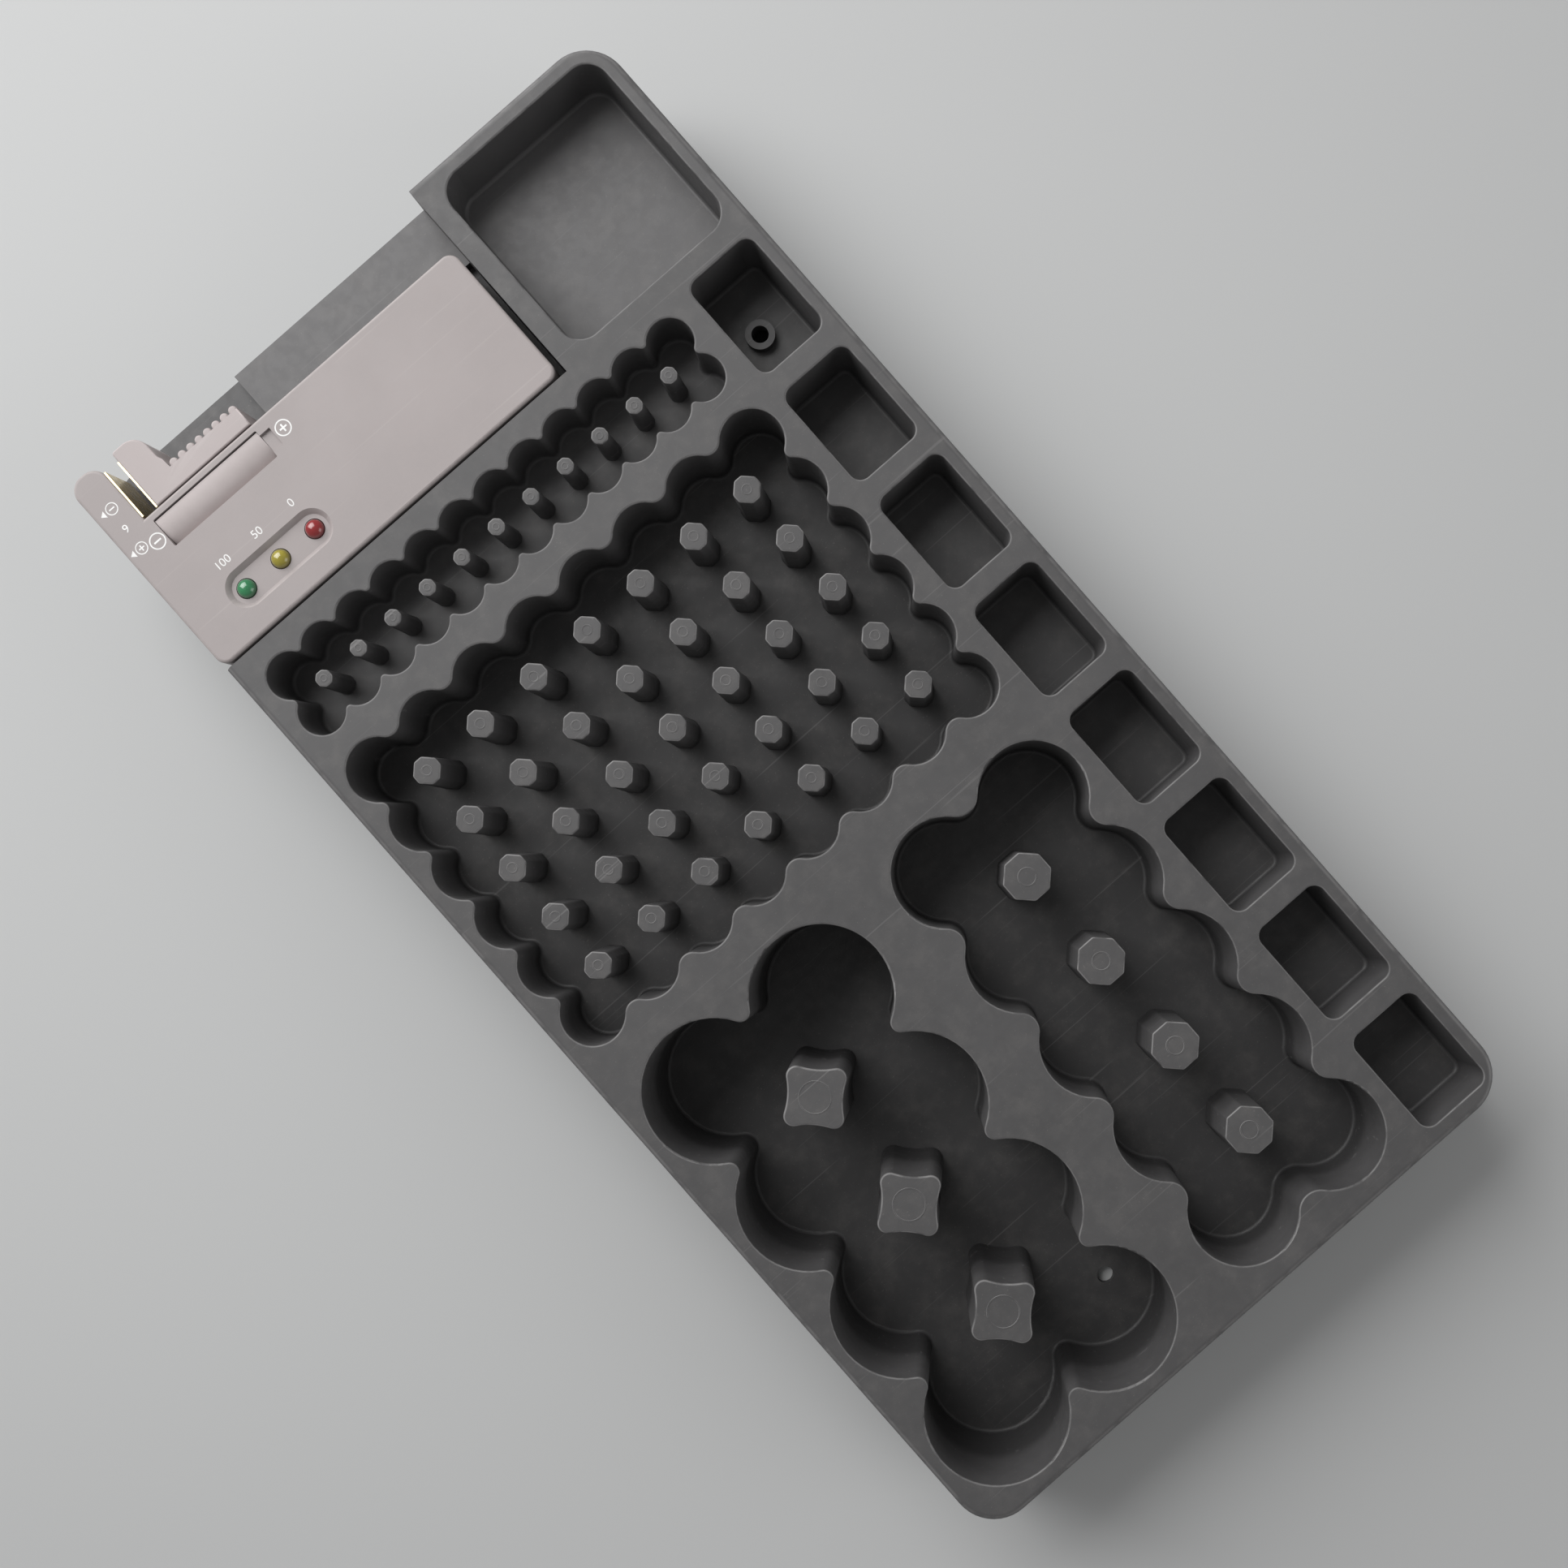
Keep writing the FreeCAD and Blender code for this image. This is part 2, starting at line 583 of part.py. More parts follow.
def rib_cells(x_low, y_low, x_high, y_high):
    """Rounded cells under a raised floor, with ribs between them."""
    across = math.ceil((x_high - x_low) / sheet.rib_spacing)
    along = math.ceil((y_high - y_low) / sheet.rib_spacing)
    step_x = (x_high - x_low + sheet.rib_thickness) / across
    step_y = (y_high - y_low + sheet.rib_thickness) / along
    curves = []
    for column in range(across):
        for line in range(along):
            x = x_low + column * step_x
            y = y_low + line * step_y
            x_end = x + step_x - sheet.rib_thickness
            y_end = y + step_y - sheet.rib_thickness
            curves += rounded_rectangle(x, y, x_end, y_end, sheet.rib_corner)
    return curves


def make_tray():
    body = new_body("tray")
    outline = rounded_rectangle(left, front, right, back, sheet.corner_radius)
    pad(body, "tray_block", outline, 0, "tray_height")

    past_left = left - sheet.corner_radius
    past_back = back + sheet.corner_radius
    bay = ((past_left, bay_front), (bay_right, bay_front), (bay_right, past_back), (past_left, past_back))
    seat = (
        (past_left, bay_front),
        (bay_right, bay_front),
        (bay_right, ledge_front),
        (ledge_left, ledge_front),
        (ledge_left, past_back),
        (past_left, past_back),
    )
    pocket(body, "test_ledge", rounded_polygon([(x, y, 0) for x, y in bay]), deck, "ledge_drop")
    seat_depth = BAY_DEPTH + " - ledge_drop"
    pocket(body, "tester_seat", rounded_polygon([(x, y, 0) for x, y in seat]), ledge_top, seat_depth)

    for zone in zones:
        pocket(body, zone.kind + "_wells", zone.outline(), deck, DEPTHS[zone.kind], taper="-well_draft")
    flat_rims = []
    for y in flat_starts:
        flat_rims += rounded_rectangle(flat_low, y, flat_high, y + sheet.flat_length, sheet.flat_corner)
    pocket(body, "flat_pockets", flat_rims, deck, "flat_depth", taper="-well_draft")
    bin_rim = rounded_rectangle(bin_left, bin_front, flat_high, bin_back, sheet.bin_corner)
    pocket(body, "bin", bin_rim, deck, "bin_depth", taper="-well_draft")

    bin_hollows_front = bin_front + sheet.rib_thickness
    hollows = (
        ("aa_hollows", rib_cells(wells_left, aa_zone.y_low, wells_right, aa_zone.y_high), "aa_depth"),
        ("aaa_hollows", rib_cells(wells_left, aaa_zone.y_low, wells_right, aaa_zone.y_high), "aaa_depth"),
        ("c_hollows", rib_cells(c_zone.x_low, c_zone.y_low, c_zone.x_high, c_zone.y_high), "c_depth"),
        ("flat_hollows", rib_cells(flat_low, front + sheet.end_rim, flat_high, bin_front), "flat_depth"),
        ("bin_hollows", rib_cells(bin_left, bin_hollows_front, flat_high, bin_back), "bin_depth"),
        ("bay_hollows", rib_cells(wells_left, bay_front, bay_right, bin_back), f"({BAY_DEPTH})"),
    )
    for name, cells, depth in hollows:
        height = f"tray_height - {depth} - floor_thickness"
        pocket(body, name, cells, 0, height, upwards=True)
    return body


def finish_tray(body):
    """Rounded edges, then the two wall-mounting holes."""
    def on_outside(edge):
        point = middle_of(edge)
        over_x = abs(point.x) - (right - sheet.corner_radius)
        over_y = abs(point.y) - (back - sheet.corner_radius)
        if over_x > 0 and over_y > 0:
            return math.hypot(over_x, over_y) > sheet.corner_radius - 1e-3
        return max(over_x, over_y) > sheet.corner_radius - 1e-3

    def on_bay(edge):
        point = middle_of(edge)
        return point.y > bay_front - 1e-3 and point.x < bay_right + 1e-3

    def is_rim(edge):
        return at_level(edge, deck) and not on_outside(edge) and not on_bay(edge)

    def is_outer(edge):
        return at_level(edge, deck) and on_outside(edge)

    floors = [deck - zone.depth for zone in zones]
    floors += [deck - sheet.flat_depth, deck - sheet.bin_depth]

    def is_floor(edge):
        return any(at_level(edge, level) for level in floors)

    round_edges(body, "rim_rounds", "rim_round", is_rim)
    round_edges(body, "floor_rounds", "floor_round", is_floor)
    round_edges(body, "outer_rounds", "deck_edge_round", is_outer)

    flat_floor = deck - sheet.flat_depth
    boss_x = (flat_low + flat_high) / 2 + sheet.mount_boss_x
    boss_y = flat_starts[-1] + sheet.flat_length / 2 + sheet.mount_boss_y
    hole_x = d_zone.first_x + (d_zone.columns - 1) * d_zone.pitch_x + sheet.mount_hole_x
    hole_y = d_zone.first_y + sheet.mount_hole_y
    boss = [circle(boss_x, boss_y, sheet.mount_boss_radius)]
    pad(body, "mount_boss", boss, flat_floor, "mount_boss_height")
    boss_top = flat_floor + sheet.mount_boss_height
    boss_hole = [circle(boss_x, boss_y, sheet.mount_radius)]
    pocket(body, "boss_hole", boss_hole, boss_top, "mount_boss_height + floor_thickness")
    floor_hole = [circle(hole_x, hole_y, sheet.mount_radius)]
    pocket(body, "floor_hole", floor_hole, sheet.d_floor, "d_floor")


def make_pegs(zone):
    """Tapered pegs between the wells, one solid each."""
    body = new_body(zone.kind + "_pegs")
    inwards = zone.depth * math.tan(math.radians(sheet.well_draft))
    height = DEPTHS[zone.kind] + " - peg_drop"
    peg = pad(body, zone.kind + "_peg", zone.peg_outline(inwards), deck - zone.depth, height, "-well_draft")
    grid = body.newObject("PartDesign::LinearPattern", zone.kind + "_peg_grid")
    grid.Originals = [peg]
    grid.Direction = (origin_of(body, "X_Axis"), [""])
    grid.Direction2 = (origin_of(body, "Y_Axis"), [""])
    for number, along, gap in (("", "columns", "gap_x"), ("2", "rows", "gap_y")):
        bind(grid, "Occurrences" + number, f"{zone.kind}_{along} - 1")
        pitch = f"(2 * {zone.kind}_radius + {zone.kind}_{gap})"
        bind(grid, "Length" + number, f"{pitch} * ({zone.kind}_{along} - 2)")
    body.Tip = grid
    doc.recompute()
    return body


# The tester case

def case_outline(inset):
    """The L-shaped plan of the tester, drawn in from the outside."""
    corner = max(sheet.case_corner - inset, sheet.case_edge_round)
    end = max(sheet.post_corner - inset, sheet.case_edge_round)
    return rounded_polygon((
        (case_left + inset, case_front + inset, corner),
        (case_right - inset, case_front + inset, corner),
        (case_right - inset, case_back - inset, corner),
        (post_right - inset, case_back - inset, 0),
        (post_right - inset, post_back - inset, end),
        (case_left + inset, post_back - inset, end),
    ))


def screw_places():
    """Two screws in front, one beside the carriage's path and one in the post."""
    inset = sheet.boss_inset
    return (
        (case_left + inset, case_front + inset),
        (case_right - inset, case_front + inset),
        (case_right - inset, carriage_front - inset),
        (case_left + sheet.post_width / 2, post_back - inset),
    )


def circles_at(places, radius):
    return [circle(x, y, radius) for x, y in places]


def dish_outline(grow=0.0):
    """The pill-shaped recess round the lamps."""
    middle = lamp_places[1]
    half_x = sheet.lamp_pitch + sheet.lamp_radius + sheet.lamp_dish_end + grow
    half_y = sheet.lamp_radius + sheet.lamp_dish_side + grow
    x_low, x_high = middle - half_x, middle + half_x
    return rounded_rectangle(x_low, lamp_y - half_y, x_high, lamp_y + half_y, min(half_x, half_y))


def snap_places():
    """The nine-volt contacts' places along Y: positive, then negative."""
    middle = case_front + sheet.snap_middle
    return (middle - sheet.snap_spacing / 2, middle + sheet.snap_spacing / 2)


def block(label, corner, sizes):
    """A plain box from its lowest corner, with its sizes along X, Y and Z."""
    thing = doc.addObject("Part::Box", label)
    thing.Label = label
    for prop, size in zip(("Length", "Width", "Height"), sizes):
        set_size(thing, prop, size)
    thing.Placement.Base = Vector(*corner)
    return thing


def cut(label, base, tools):
    """The base with every tool taken away."""
    tool = tools[0]
    if len(tools) > 1:
        tool = doc.addObject("Part::MultiFuse", label + "_tools")
        tool.Shapes = tools
    thing = doc.addObject("Part::Cut", label)
    thing.Label = label
    thing.Base = base
    thing.Tool = tool
    doc.recompute()
    return thing


def fuse(label, pieces):
    thing = doc.addObject("Part::MultiFuse", label)
    thing.Label = label
    thing.Shapes = pieces
    thing.Refine = True
    doc.recompute()
    return thing


def rod_along_x(label, start, length, radius):
    """A cylinder along X from the middle of its lower end."""
    thing = doc.addObject("Part::Cylinder", label)
    thing.Label = label
    set_size(thing, "Radius", radius)
    set_size(thing, "Height", length)
    thing.Placement = FreeCAD.Placement(Vector(*start), FreeCAD.Rotation(Vector(0, 1, 0), 90))
    return thing


def make_top_case():
    """The upper shell, with its window, lamp recess, slot, sockets and bosses."""
    body = new_body("top_case_shell")
    pad(body, "case_block", case_outline(0), cover_top, "tester_height - cover_thickness")
    hollow_height = "tester_height - cover_thickness - case_top"
    pocket(body, "case_hollow", case_outline(sheet.case_wall), cover_top, hollow_height, upwards=True)

    round_edges(body, "case_rounds", "case_edge_round", lambda edge: at_level(edge, case_top))

    pad_level = dish_floor - sheet.case_top
    pad(body, "lamp_pad", dish_outline(sheet.case_top), pad_level, "lamp_dish_depth + lamp_dish_depth / 2")
    boss_height = "tester_height - cover_thickness - case_top / 2"
    pad(body, "case_bosses", circles_at(screw_places(), sheet.boss_radius), cover_top, boss_height)

    pocket(body, "lamp_dish", dish_outline(), case_top, "lamp_dish_depth", taper="-lamp_dish_slope")
    lamp_holes = [circle(x, lamp_y, sheet.lamp_radius + sheet.lamp_clearance) for x in lamp_places]
    pocket(body, "lamp_holes", lamp_holes, dish_floor, "case_top + lamp_clearance")
    window_corner = sheet.case_edge_round / 2
    window = rounded_rectangle(window_left, window_front, window_right, window_back, window_corner)
    pocket(body, "window", window, case_top, "case_top")
    notch_front = (window_front + window_back - sheet.notch_width) / 2
    notch_back = notch_front + sheet.notch_width
    notch_left = window_right - sheet.case_edge_round
    notch = rounded_rectangle(notch_left, notch_front, window_right + sheet.notch_length, notch_back, 0)
    pocket(body, "window_notch", notch, case_top, "notch_depth")
    screw_holes = circles_at(screw_places(), sheet.screw_radius + sheet.screw_clearance)
    hole_depth = "screw_head_height + screw_length + screw_clearance - cover_thickness"
    pocket(body, "case_screw_holes", screw_holes, cover_top, hole_depth, upwards=True)

    past = sheet.case_wall / 2
    slot_corner = (web_left - sheet.web_gap, window_back - past, web_bottom - sheet.web_gap)
    slot_length = web_right + slider_travel - web_left + 2 * sheet.web_gap
    slot = block("slider_slot", slot_corner, (slot_length, "2 * case_wall", "web_height + 2 * web_gap"))
    sockets = rod_along_x("rod_sockets", rod_start, ROD_LENGTH, "rod_radius + rod_clearance")
    tools = [slot, sockets]
    snap_z = cover_bottom + sheet.snap_height
    pad_depth = "snap_thickness + case_wall / 2"
    pad_side = "snap_pad + 2 * contact_clearance"
    stem_side = "snap_stem + 2 * contact_clearance"
    pad_half = sheet.snap_pad / 2 + sheet.contact_clearance
    stem_half = sheet.snap_stem / 2 + sheet.contact_clearance
    for number, y in enumerate(snap_places()):
        corner = (case_left - past, y - pad_half, snap_z - pad_half)
        tools.append(block(f"snap_recess_{number}", corner, (pad_depth, pad_side, pad_side)))
        corner = (case_left - past, y - stem_half, snap_z - stem_half)
        tools.append(block(f"snap_hole_{number}", corner, ("2 * case_wall", stem_side, stem_side)))
    stem_y, stem_z = fixed_stem_place()
    corner = (post_right - sheet.case_wall - past, stem_y - stem_half, stem_z - stem_half)
    tools.append(block("fixed_stem_hole", corner, ("2 * case_wall", stem_side, stem_side)))
    return cut("tester_top_case", body, tools)


def fixed_stem_place():
    """Where the fixed contact's stem goes through the post's wall."""
    return case_back + sheet.stem_back, (slider_bottom + slider_top) / 2


def board_screw_places():
    inset = sheet.board_screw_inset
    low_x, high_x = board_left + inset, board_right - inset
    low_y, high_y = board_front + inset, board_back - inset
    return ((low_x, high_y), (high_x, low_y), (high_x, high_y))


def make_back_cover():
    """The flat cover, with standoffs for the board and sunk screw heads."""
    body = new_body("tester_back_cover")
    pad(body, "cover_plate", case_outline(0), cover_bottom, "cover_thickness")
    standoffs = circles_at(board_screw_places(), sheet.standoff_radius)
    pad(body, "standoffs", standoffs, cover_top, "board_lift")
    heads = circles_at(screw_places(), sheet.screw_head_radius + sheet.screw_clearance)
    pocket(body, "head_recesses", heads, cover_bottom, "screw_head_height", upwards=True)
    shanks = circles_at(screw_places(), sheet.screw_radius + sheet.screw_clearance)
    pocket(body, "shank_holes", shanks, cover_top, "cover_thickness")
    board_screws = circles_at(board_screw_places(), sheet.board_screw_radius + sheet.screw_clearance)
    hole_depth = "board_screw_length + screw_clearance - board_thickness"
    pocket(body, "board_screw_holes", board_screws, board_bottom, hole_depth)
    return body


def make_case_screws():
    """Screws with flat heads, put in from below."""
    body = new_body("case_screws")
    heads = circles_at(screw_places(), sheet.screw_head_radius)
    pad(body, "screw_heads", heads, cover_bottom, "screw_head_height")
    shank_level = cover_bottom + sheet.screw_head_height
    pad(body, "screw_shanks", circles_at(screw_places(), sheet.screw_radius), shank_level, "screw_length")
    return body


# The circuit board and what is on it

def make_board():
    body = new_body("circuit_board")
    outline = rounded_rectangle(board_left, board_front, board_right, board_back, sheet.board_corner)
    holes = circles_at(board_screw_places(), sheet.board_screw_radius + sheet.screw_clearance)
    pad(body, "board_plate", outline + holes, board_bottom, "board_thickness")
    return body


def make_board_screws():
    body = new_body("board_screws")
    shank_level = board_top - sheet.board_screw_length
    places = board_screw_places()
    pad(body, "board_shanks", circles_at(places, sheet.board_screw_radius), shank_level, "board_screw_length")
    heads = circles_at(places, sheet.board_screw_head_radius)
    pad(body, "board_heads", heads, board_top, "board_screw_head_height")
    return body


def make_chip():
    body = new_body("control_chip")
    x, y = board_right - sheet.chip_from_end, board_front + sheet.chip_from_front
    half_x, half_y = sheet.chip_length / 2, sheet.chip_width / 2
    outline = rounded_rectangle(x - half_x, y - half_y, x + half_x, y + half_y, 0)
    pad(body, "chip_package", outline, board_top, "chip_height")
    round_edges(body, "chip_rounds", "chip_round", lambda edge: at_level(edge, board_top + sheet.chip_height))
    return body


def make_coil():
    """A drum core: two flanges and a waist."""
    body = new_body("boost_coil")
    x, y = board_right - sheet.coil_from_end, board_front + sheet.coil_from_front
    pad(body, "coil_base", [circle(x, y, sheet.coil_radius)], board_top, "coil_flange")
    waist = [circle(x, y, sheet.coil_radius - sheet.coil_flange)]
    pad(body, "coil_waist", waist, board_top + sheet.coil_flange, "coil_height - 2 * coil_flange")
    top_level = board_top + sheet.coil_height - sheet.coil_flange
    pad(body, "coil_top", [circle(x, y, sheet.coil_radius)], top_level, "coil_flange")
    return body


def make_capacitor():
    body = new_body("smoothing_capacitor")
    x, y = board_right - sheet.capacitor_from_end, board_front + sheet.capacitor_from_front
    room = "tester_height - case_top - cover_thickness - board_lift - board_thickness"
    height = room + " - capacitor_top_gap"
    pad(body, "capacitor_can", [circle(x, y, sheet.capacitor_radius)], board_top, height)
    top = plate_under - sheet.capacitor_top_gap
    round_edges(body, "capacitor_rounds", "capacitor_round", lambda edge: at_level(edge, top))
    return body


def make_resistors():
    body = new_body("board_resistors")
    x, y = board_left + sheet.resistor_from_start, board_front + sheet.resistor_from_front
    outline = rounded_rectangle(x, y, x + sheet.resistor_width, y + sheet.resistor_length, 0)
    first = pad(body, "resistor", outline, board_top, "resistor_height")
    line = body.newObject("PartDesign::LinearPattern", "resistor_row")
    line.Originals = [first]
    line.Direction = (origin_of(body, "X_Axis"), [""])
    bind(line, "Occurrences", "resistor_count")
    bind(line, "Length", "resistor_pitch * (resistor_count - 1)")
    body.Tip = line
    doc.recompute()
    return body


def make_load_resistor():
    """A drum lying over the board on two bent legs."""
    x, y = board_left + sheet.load_from_start, board_back - sheet.load_from_back
    z = board_top + sheet.load_lift + sheet.load_radius
    drum = rod_along_x("load_drum", (x, y, z), "load_length", "load_radius")
    wire_start = x - sheet.load_leg_reach
    wire_end = x + sheet.load_length + sheet.load_leg_reach
    wire = rod_along_x("load_wire", (wire_start, y, z), "load_length + 2 * load_leg_reach", "leg_side / 2")
    legs = []
    for number, leg in enumerate((wire_start, wire_end - sheet.leg_side)):
        corner = (leg, y - sheet.leg_side / 2, board_top)
        legs.append(block(f"load_leg_{number}", corner, ("leg_side", "leg_side", "load_lift + load_radius")))
    return fuse("load_resistor", [drum, wire] + legs)


def make_lamp(label, x):
    """A domed lamp with a base rim and two legs down to the board."""
    top = dish_floor + sheet.lamp_rise
    base = top - sheet.lamp_body
    shoulder = top - sheet.lamp_radius
    barrel = doc.addObject("Part::Cylinder", label + "_barrel")
    bind(barrel, "Radius", "lamp_radius")
    bind(barrel, "Height", "lamp_body - lamp_radius")
    barrel.Placement.Base = Vector(x, lamp_y, base)
    dome = doc.addObject("Part::Sphere", label + "_dome")
    bind(dome, "Radius", "lamp_radius")
    dome.Placement.Base = Vector(x, lamp_y, shoulder)
    rim = doc.addObject("Part::Cylinder", label + "_rim")
    bind(rim, "Radius", "lamp_radius + lamp_flange")
    bind(rim, "Height", "2 * lamp_flange")
    rim.Placement.Base = Vector(x, lamp_y, base)
    half = sheet.leg_side / 2
    legs = []
    for number, side in enumerate((-1, 1)):
        corner = (x + side * sheet.leg_spread / 2 - half, lamp_y - half, board_top)
        legs.append(block(f"{label}_leg_{number}", corner, ("leg_side", "leg_side", base - board_top)))
    return fuse(label, [barrel, dome, rim] + legs)


# The contacts

def make_fixed_contact():
    """A plate on the post's inner face, with a stem through its wall."""
    corner = (post_right, case_back + sheet.ledge_gap, slider_bottom)
    plate_sizes = ("contact_thickness", "post_length - ledge_gap - contact_inset", SLIDER_HEIGHT)
    plate = block("fixed_plate", corner, plate_sizes)
    stem_y, stem_z = fixed_stem_place()
    half = sheet.snap_stem / 2
    corner = (post_right - sheet.case_wall - sheet.stem_reach, stem_y - half, stem_z - half)
    stem = block("fixed_stem", corner, ("case_wall + stem_reach", "snap_stem", "snap_stem"))
    return fuse("fixed_contact", [plate, stem])


def make_snap_contact(label, y):
    """A pad let into the case's end, with a stem through the wall."""
    z = cover_bottom + sheet.snap_height
    half = sheet.snap_pad / 2
    plate = block(label + "_pad", (case_left, y - half, z - half), ("snap_thickness", "snap_pad", "snap_pad"))
    half = sheet.snap_stem / 2
    stem_sizes = ("case_wall + snap_reach", "snap_stem", "snap_stem")
    stem = block(label + "_stem", (case_left, y - half, z - half), stem_sizes)
    return fuse(label, [plate, stem])


def make_contact_rail():
    """A flat strip on the cover, under the wiper's whole path."""
    corner = (carriage_left, rod_y - sheet.rail_width / 2, cover_top)
    length = carriage_right + slider_travel - carriage_left
    return block("contact_rail", corner, (length, "rail_width", "rail_thickness"))


# The slider and its guide

def slider_outline():
    """Tongue and thumb bar seen from above, with a hollow blend between them."""
    return rounded_polygon((
        (tongue_left, bar_front, 0),
        (bar_right, bar_front, 0),
        (bar_right, bar_back, sheet.case_edge_round),
        (tongue_right, bar_back, sheet.bar_blend),
        (tongue_right, tongue_back, sheet.tongue_round),
        (tongue_left, tongue_back, sheet.case_edge_round),
    ))


def make_slider():
    """Tongue and thumb bar outside, half-round carriage inside, and the web that joins them."""
    grip = new_body("slider_grip")
    pad(grip, "grip_block", slider_outline(), slider_bottom, SLIDER_HEIGHT)
    round_edges(grip, "grip_rounds", "case_edge_round / 2", lambda edge: at_level(edge, slider_top))
    grooves = []
    for number in range(1, int(sheet.tooth_count) + 1):
        x = bar_right - number * sheet.tooth_pitch - sheet.tooth_width / 2
        corner = (x, bar_back - sheet.tooth_depth, slider_bottom - sheet.tooth_depth)
        groove_sizes = ("tooth_width", "2 * tooth_depth", SLIDER_HEIGHT + " + 2 * tooth_depth")
        grooves.append(block(f"grip_groove_{number}", corner, groove_sizes))
    toothed = cut("slider_toothed", grip, grooves)

    lower_sizes = (CARRIAGE_LENGTH, "carriage_width", rod_z - carriage_bottom)
    lower = block("carriage_block", (carriage_left, carriage_front, carriage_bottom), lower_sizes)
    carriage_start = (carriage_left, rod_y, rod_z)
    upper = rod_along_x("carriage_round", carriage_start, CARRIAGE_LENGTH, "carriage_width / 2")
    web_sizes = (web_right - web_left, bar_front + sheet.web_inset - rod_y, "web_height")
    web = block("slider_web", (web_left, rod_y, web_bottom), web_sizes)
    whole = fuse("slider_whole", [toothed, lower, upper, web])

    past = (carriage_left - sheet.spring_wall, rod_y, rod_z)
    bore = rod_along_x("spring_space", past, CARRIAGE_LENGTH, "spring_bore")
    guide_length = CARRIAGE_LENGTH + " + 2 * spring_wall"
    guide = rod_along_x("guide_hole", past, guide_length, "rod_radius + rod_clearance")
    return cut("slider", whole, [bore, guide])


def make_slider_contact():
    """The plate on the tongue's face."""
    inset = sheet.contact_thickness
    corner = (tongue_left - sheet.contact_thickness, bar_front, slider_bottom + inset)
    length = "post_length - slider_case_gap - contact_inset"
    height = SLIDER_HEIGHT + " - 2 * contact_thickness"
    return block("slider_contact", corner, ("contact_thickness", length, height))


def make_wiper():
    """A bent strip under the carriage that reaches down to the rail."""
    body = new_body("slider_wiper")
    low = cover_top + sheet.rail_thickness + sheet.wiper_gap
    thin = sheet.wiper_thickness
    start = (carriage_left + carriage_right) / 2
    bend = start + sheet.wiper_flat
    heel = start + sheet.wiper_heel
    end = start + sheet.wiper_length
    points = (
        (start, carriage_bottom),
        (start, carriage_bottom - thin),
        (bend, carriage_bottom - thin),
        (heel, low),
        (end, low + sheet.wiper_tip),
        (end, low + sheet.wiper_tip + thin),
        (heel, low + thin),
        (bend, carriage_bottom),
    )
    outline = rounded_polygon([(x, z, 0) for x, z in points])
    sketch = draw(body, "wiper_outline", outline, -rod_y, "XZ_Plane")
    strip = body.newObject("PartDesign::Pad", "wiper_strip")
    strip.Profile = sketch
    strip.SideType = "Symmetric"
    bind(strip, "Length", "rail_width / 2")
    doc.recompute()
    return body


def make_guide_rod():
    return rod_along_x("guide_rod", rod_start, ROD_LENGTH, "rod_radius")


def make_return_spring():
    """Coils round the rod, from the case's end to the carriage's far end."""
    start = case_left + sheet.case_wall + sheet.spring_wire
    end = carriage_right - sheet.spring_wall - sheet.spring_wire
    pitch = (end - start) / sheet.spring_turns
    path = Part.makeHelix(pitch, end - start, sheet.spring_radius)
    section = Part.Wire(Part.makeCircle(
        sheet.spring_wire / 2, Vector(sheet.spring_radius, 0, 0), Vector(0, 1, 0)))
    coil = Part.Wire(path).makePipeShell([section], True, True)
    spring = doc.addObject("Part::Feature", "return_spring")
    spring.Label = "return_spring"
    spring.Shape = coil
    spring.Placement = FreeCAD.Placement(Vector(start, rod_y, rod_z), FreeCAD.Rotation(Vector(0, 1, 0), 90))
    return spring


# Every piece, then the files

tray = make_tray()
finish_tray(tray)
pieces = [tray]
pieces += [make_pegs(zone) for zone in zones]
pieces += [make_top_case(), make_back_cover(), make_case_screws()]
pieces += [make_board(), make_board_screws(), make_chip(), make_coil(), make_capacitor()]
pieces += [make_resistors(), make_load_resistor()]
for lamp, place in zip(("green_lamp", "yellow_lamp", "red_lamp"), lamp_places):
    pieces.append(make_lamp(lamp, place))
pieces.append(make_fixed_contact())
for snap, place in zip(("nine_volt_positive", "nine_volt_negative"), snap_places()):
    pieces.append(make_snap_contact(snap, place))
pieces += [make_contact_rail(), make_slider(), make_slider_contact(), make_wiper()]
pieces += [make_guide_rod(), make_return_spring()]
doc.recompute()

for thing in doc.Objects:
    if "Invalid" in thing.State or "Error" in thing.State:
        raise RuntimeError(f"{thing.Label} could not be made: {thing.State}")
for piece in pieces:
    if piece.Shape.isNull() or not piece.Shape.isValid() or not piece.Shape.Solids:
        raise RuntimeError(f"{piece.Label} has no sound shape")

os.makedirs("parts", exist_ok=True)
for piece in pieces:
    piece.Shape.exportStep(f"parts/{piece.Label}.step")
    box = piece.Shape.BoundBox
    size = f"{box.XLength:.2f} x {box.YLength:.2f} x {box.ZLength:.2f}"
    print(f"{piece.Label}: {len(piece.Shape.Solids)} solids, {size}")
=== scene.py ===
"""Battery organiser tray with a lift-out tester: finishes, moulded pegs, printed marks and stage."""

import math

import bmesh
import bpy
from bpy.props import FloatProperty, FloatVectorProperty, IntProperty, PointerProperty
from mathutils import Matrix, Vector


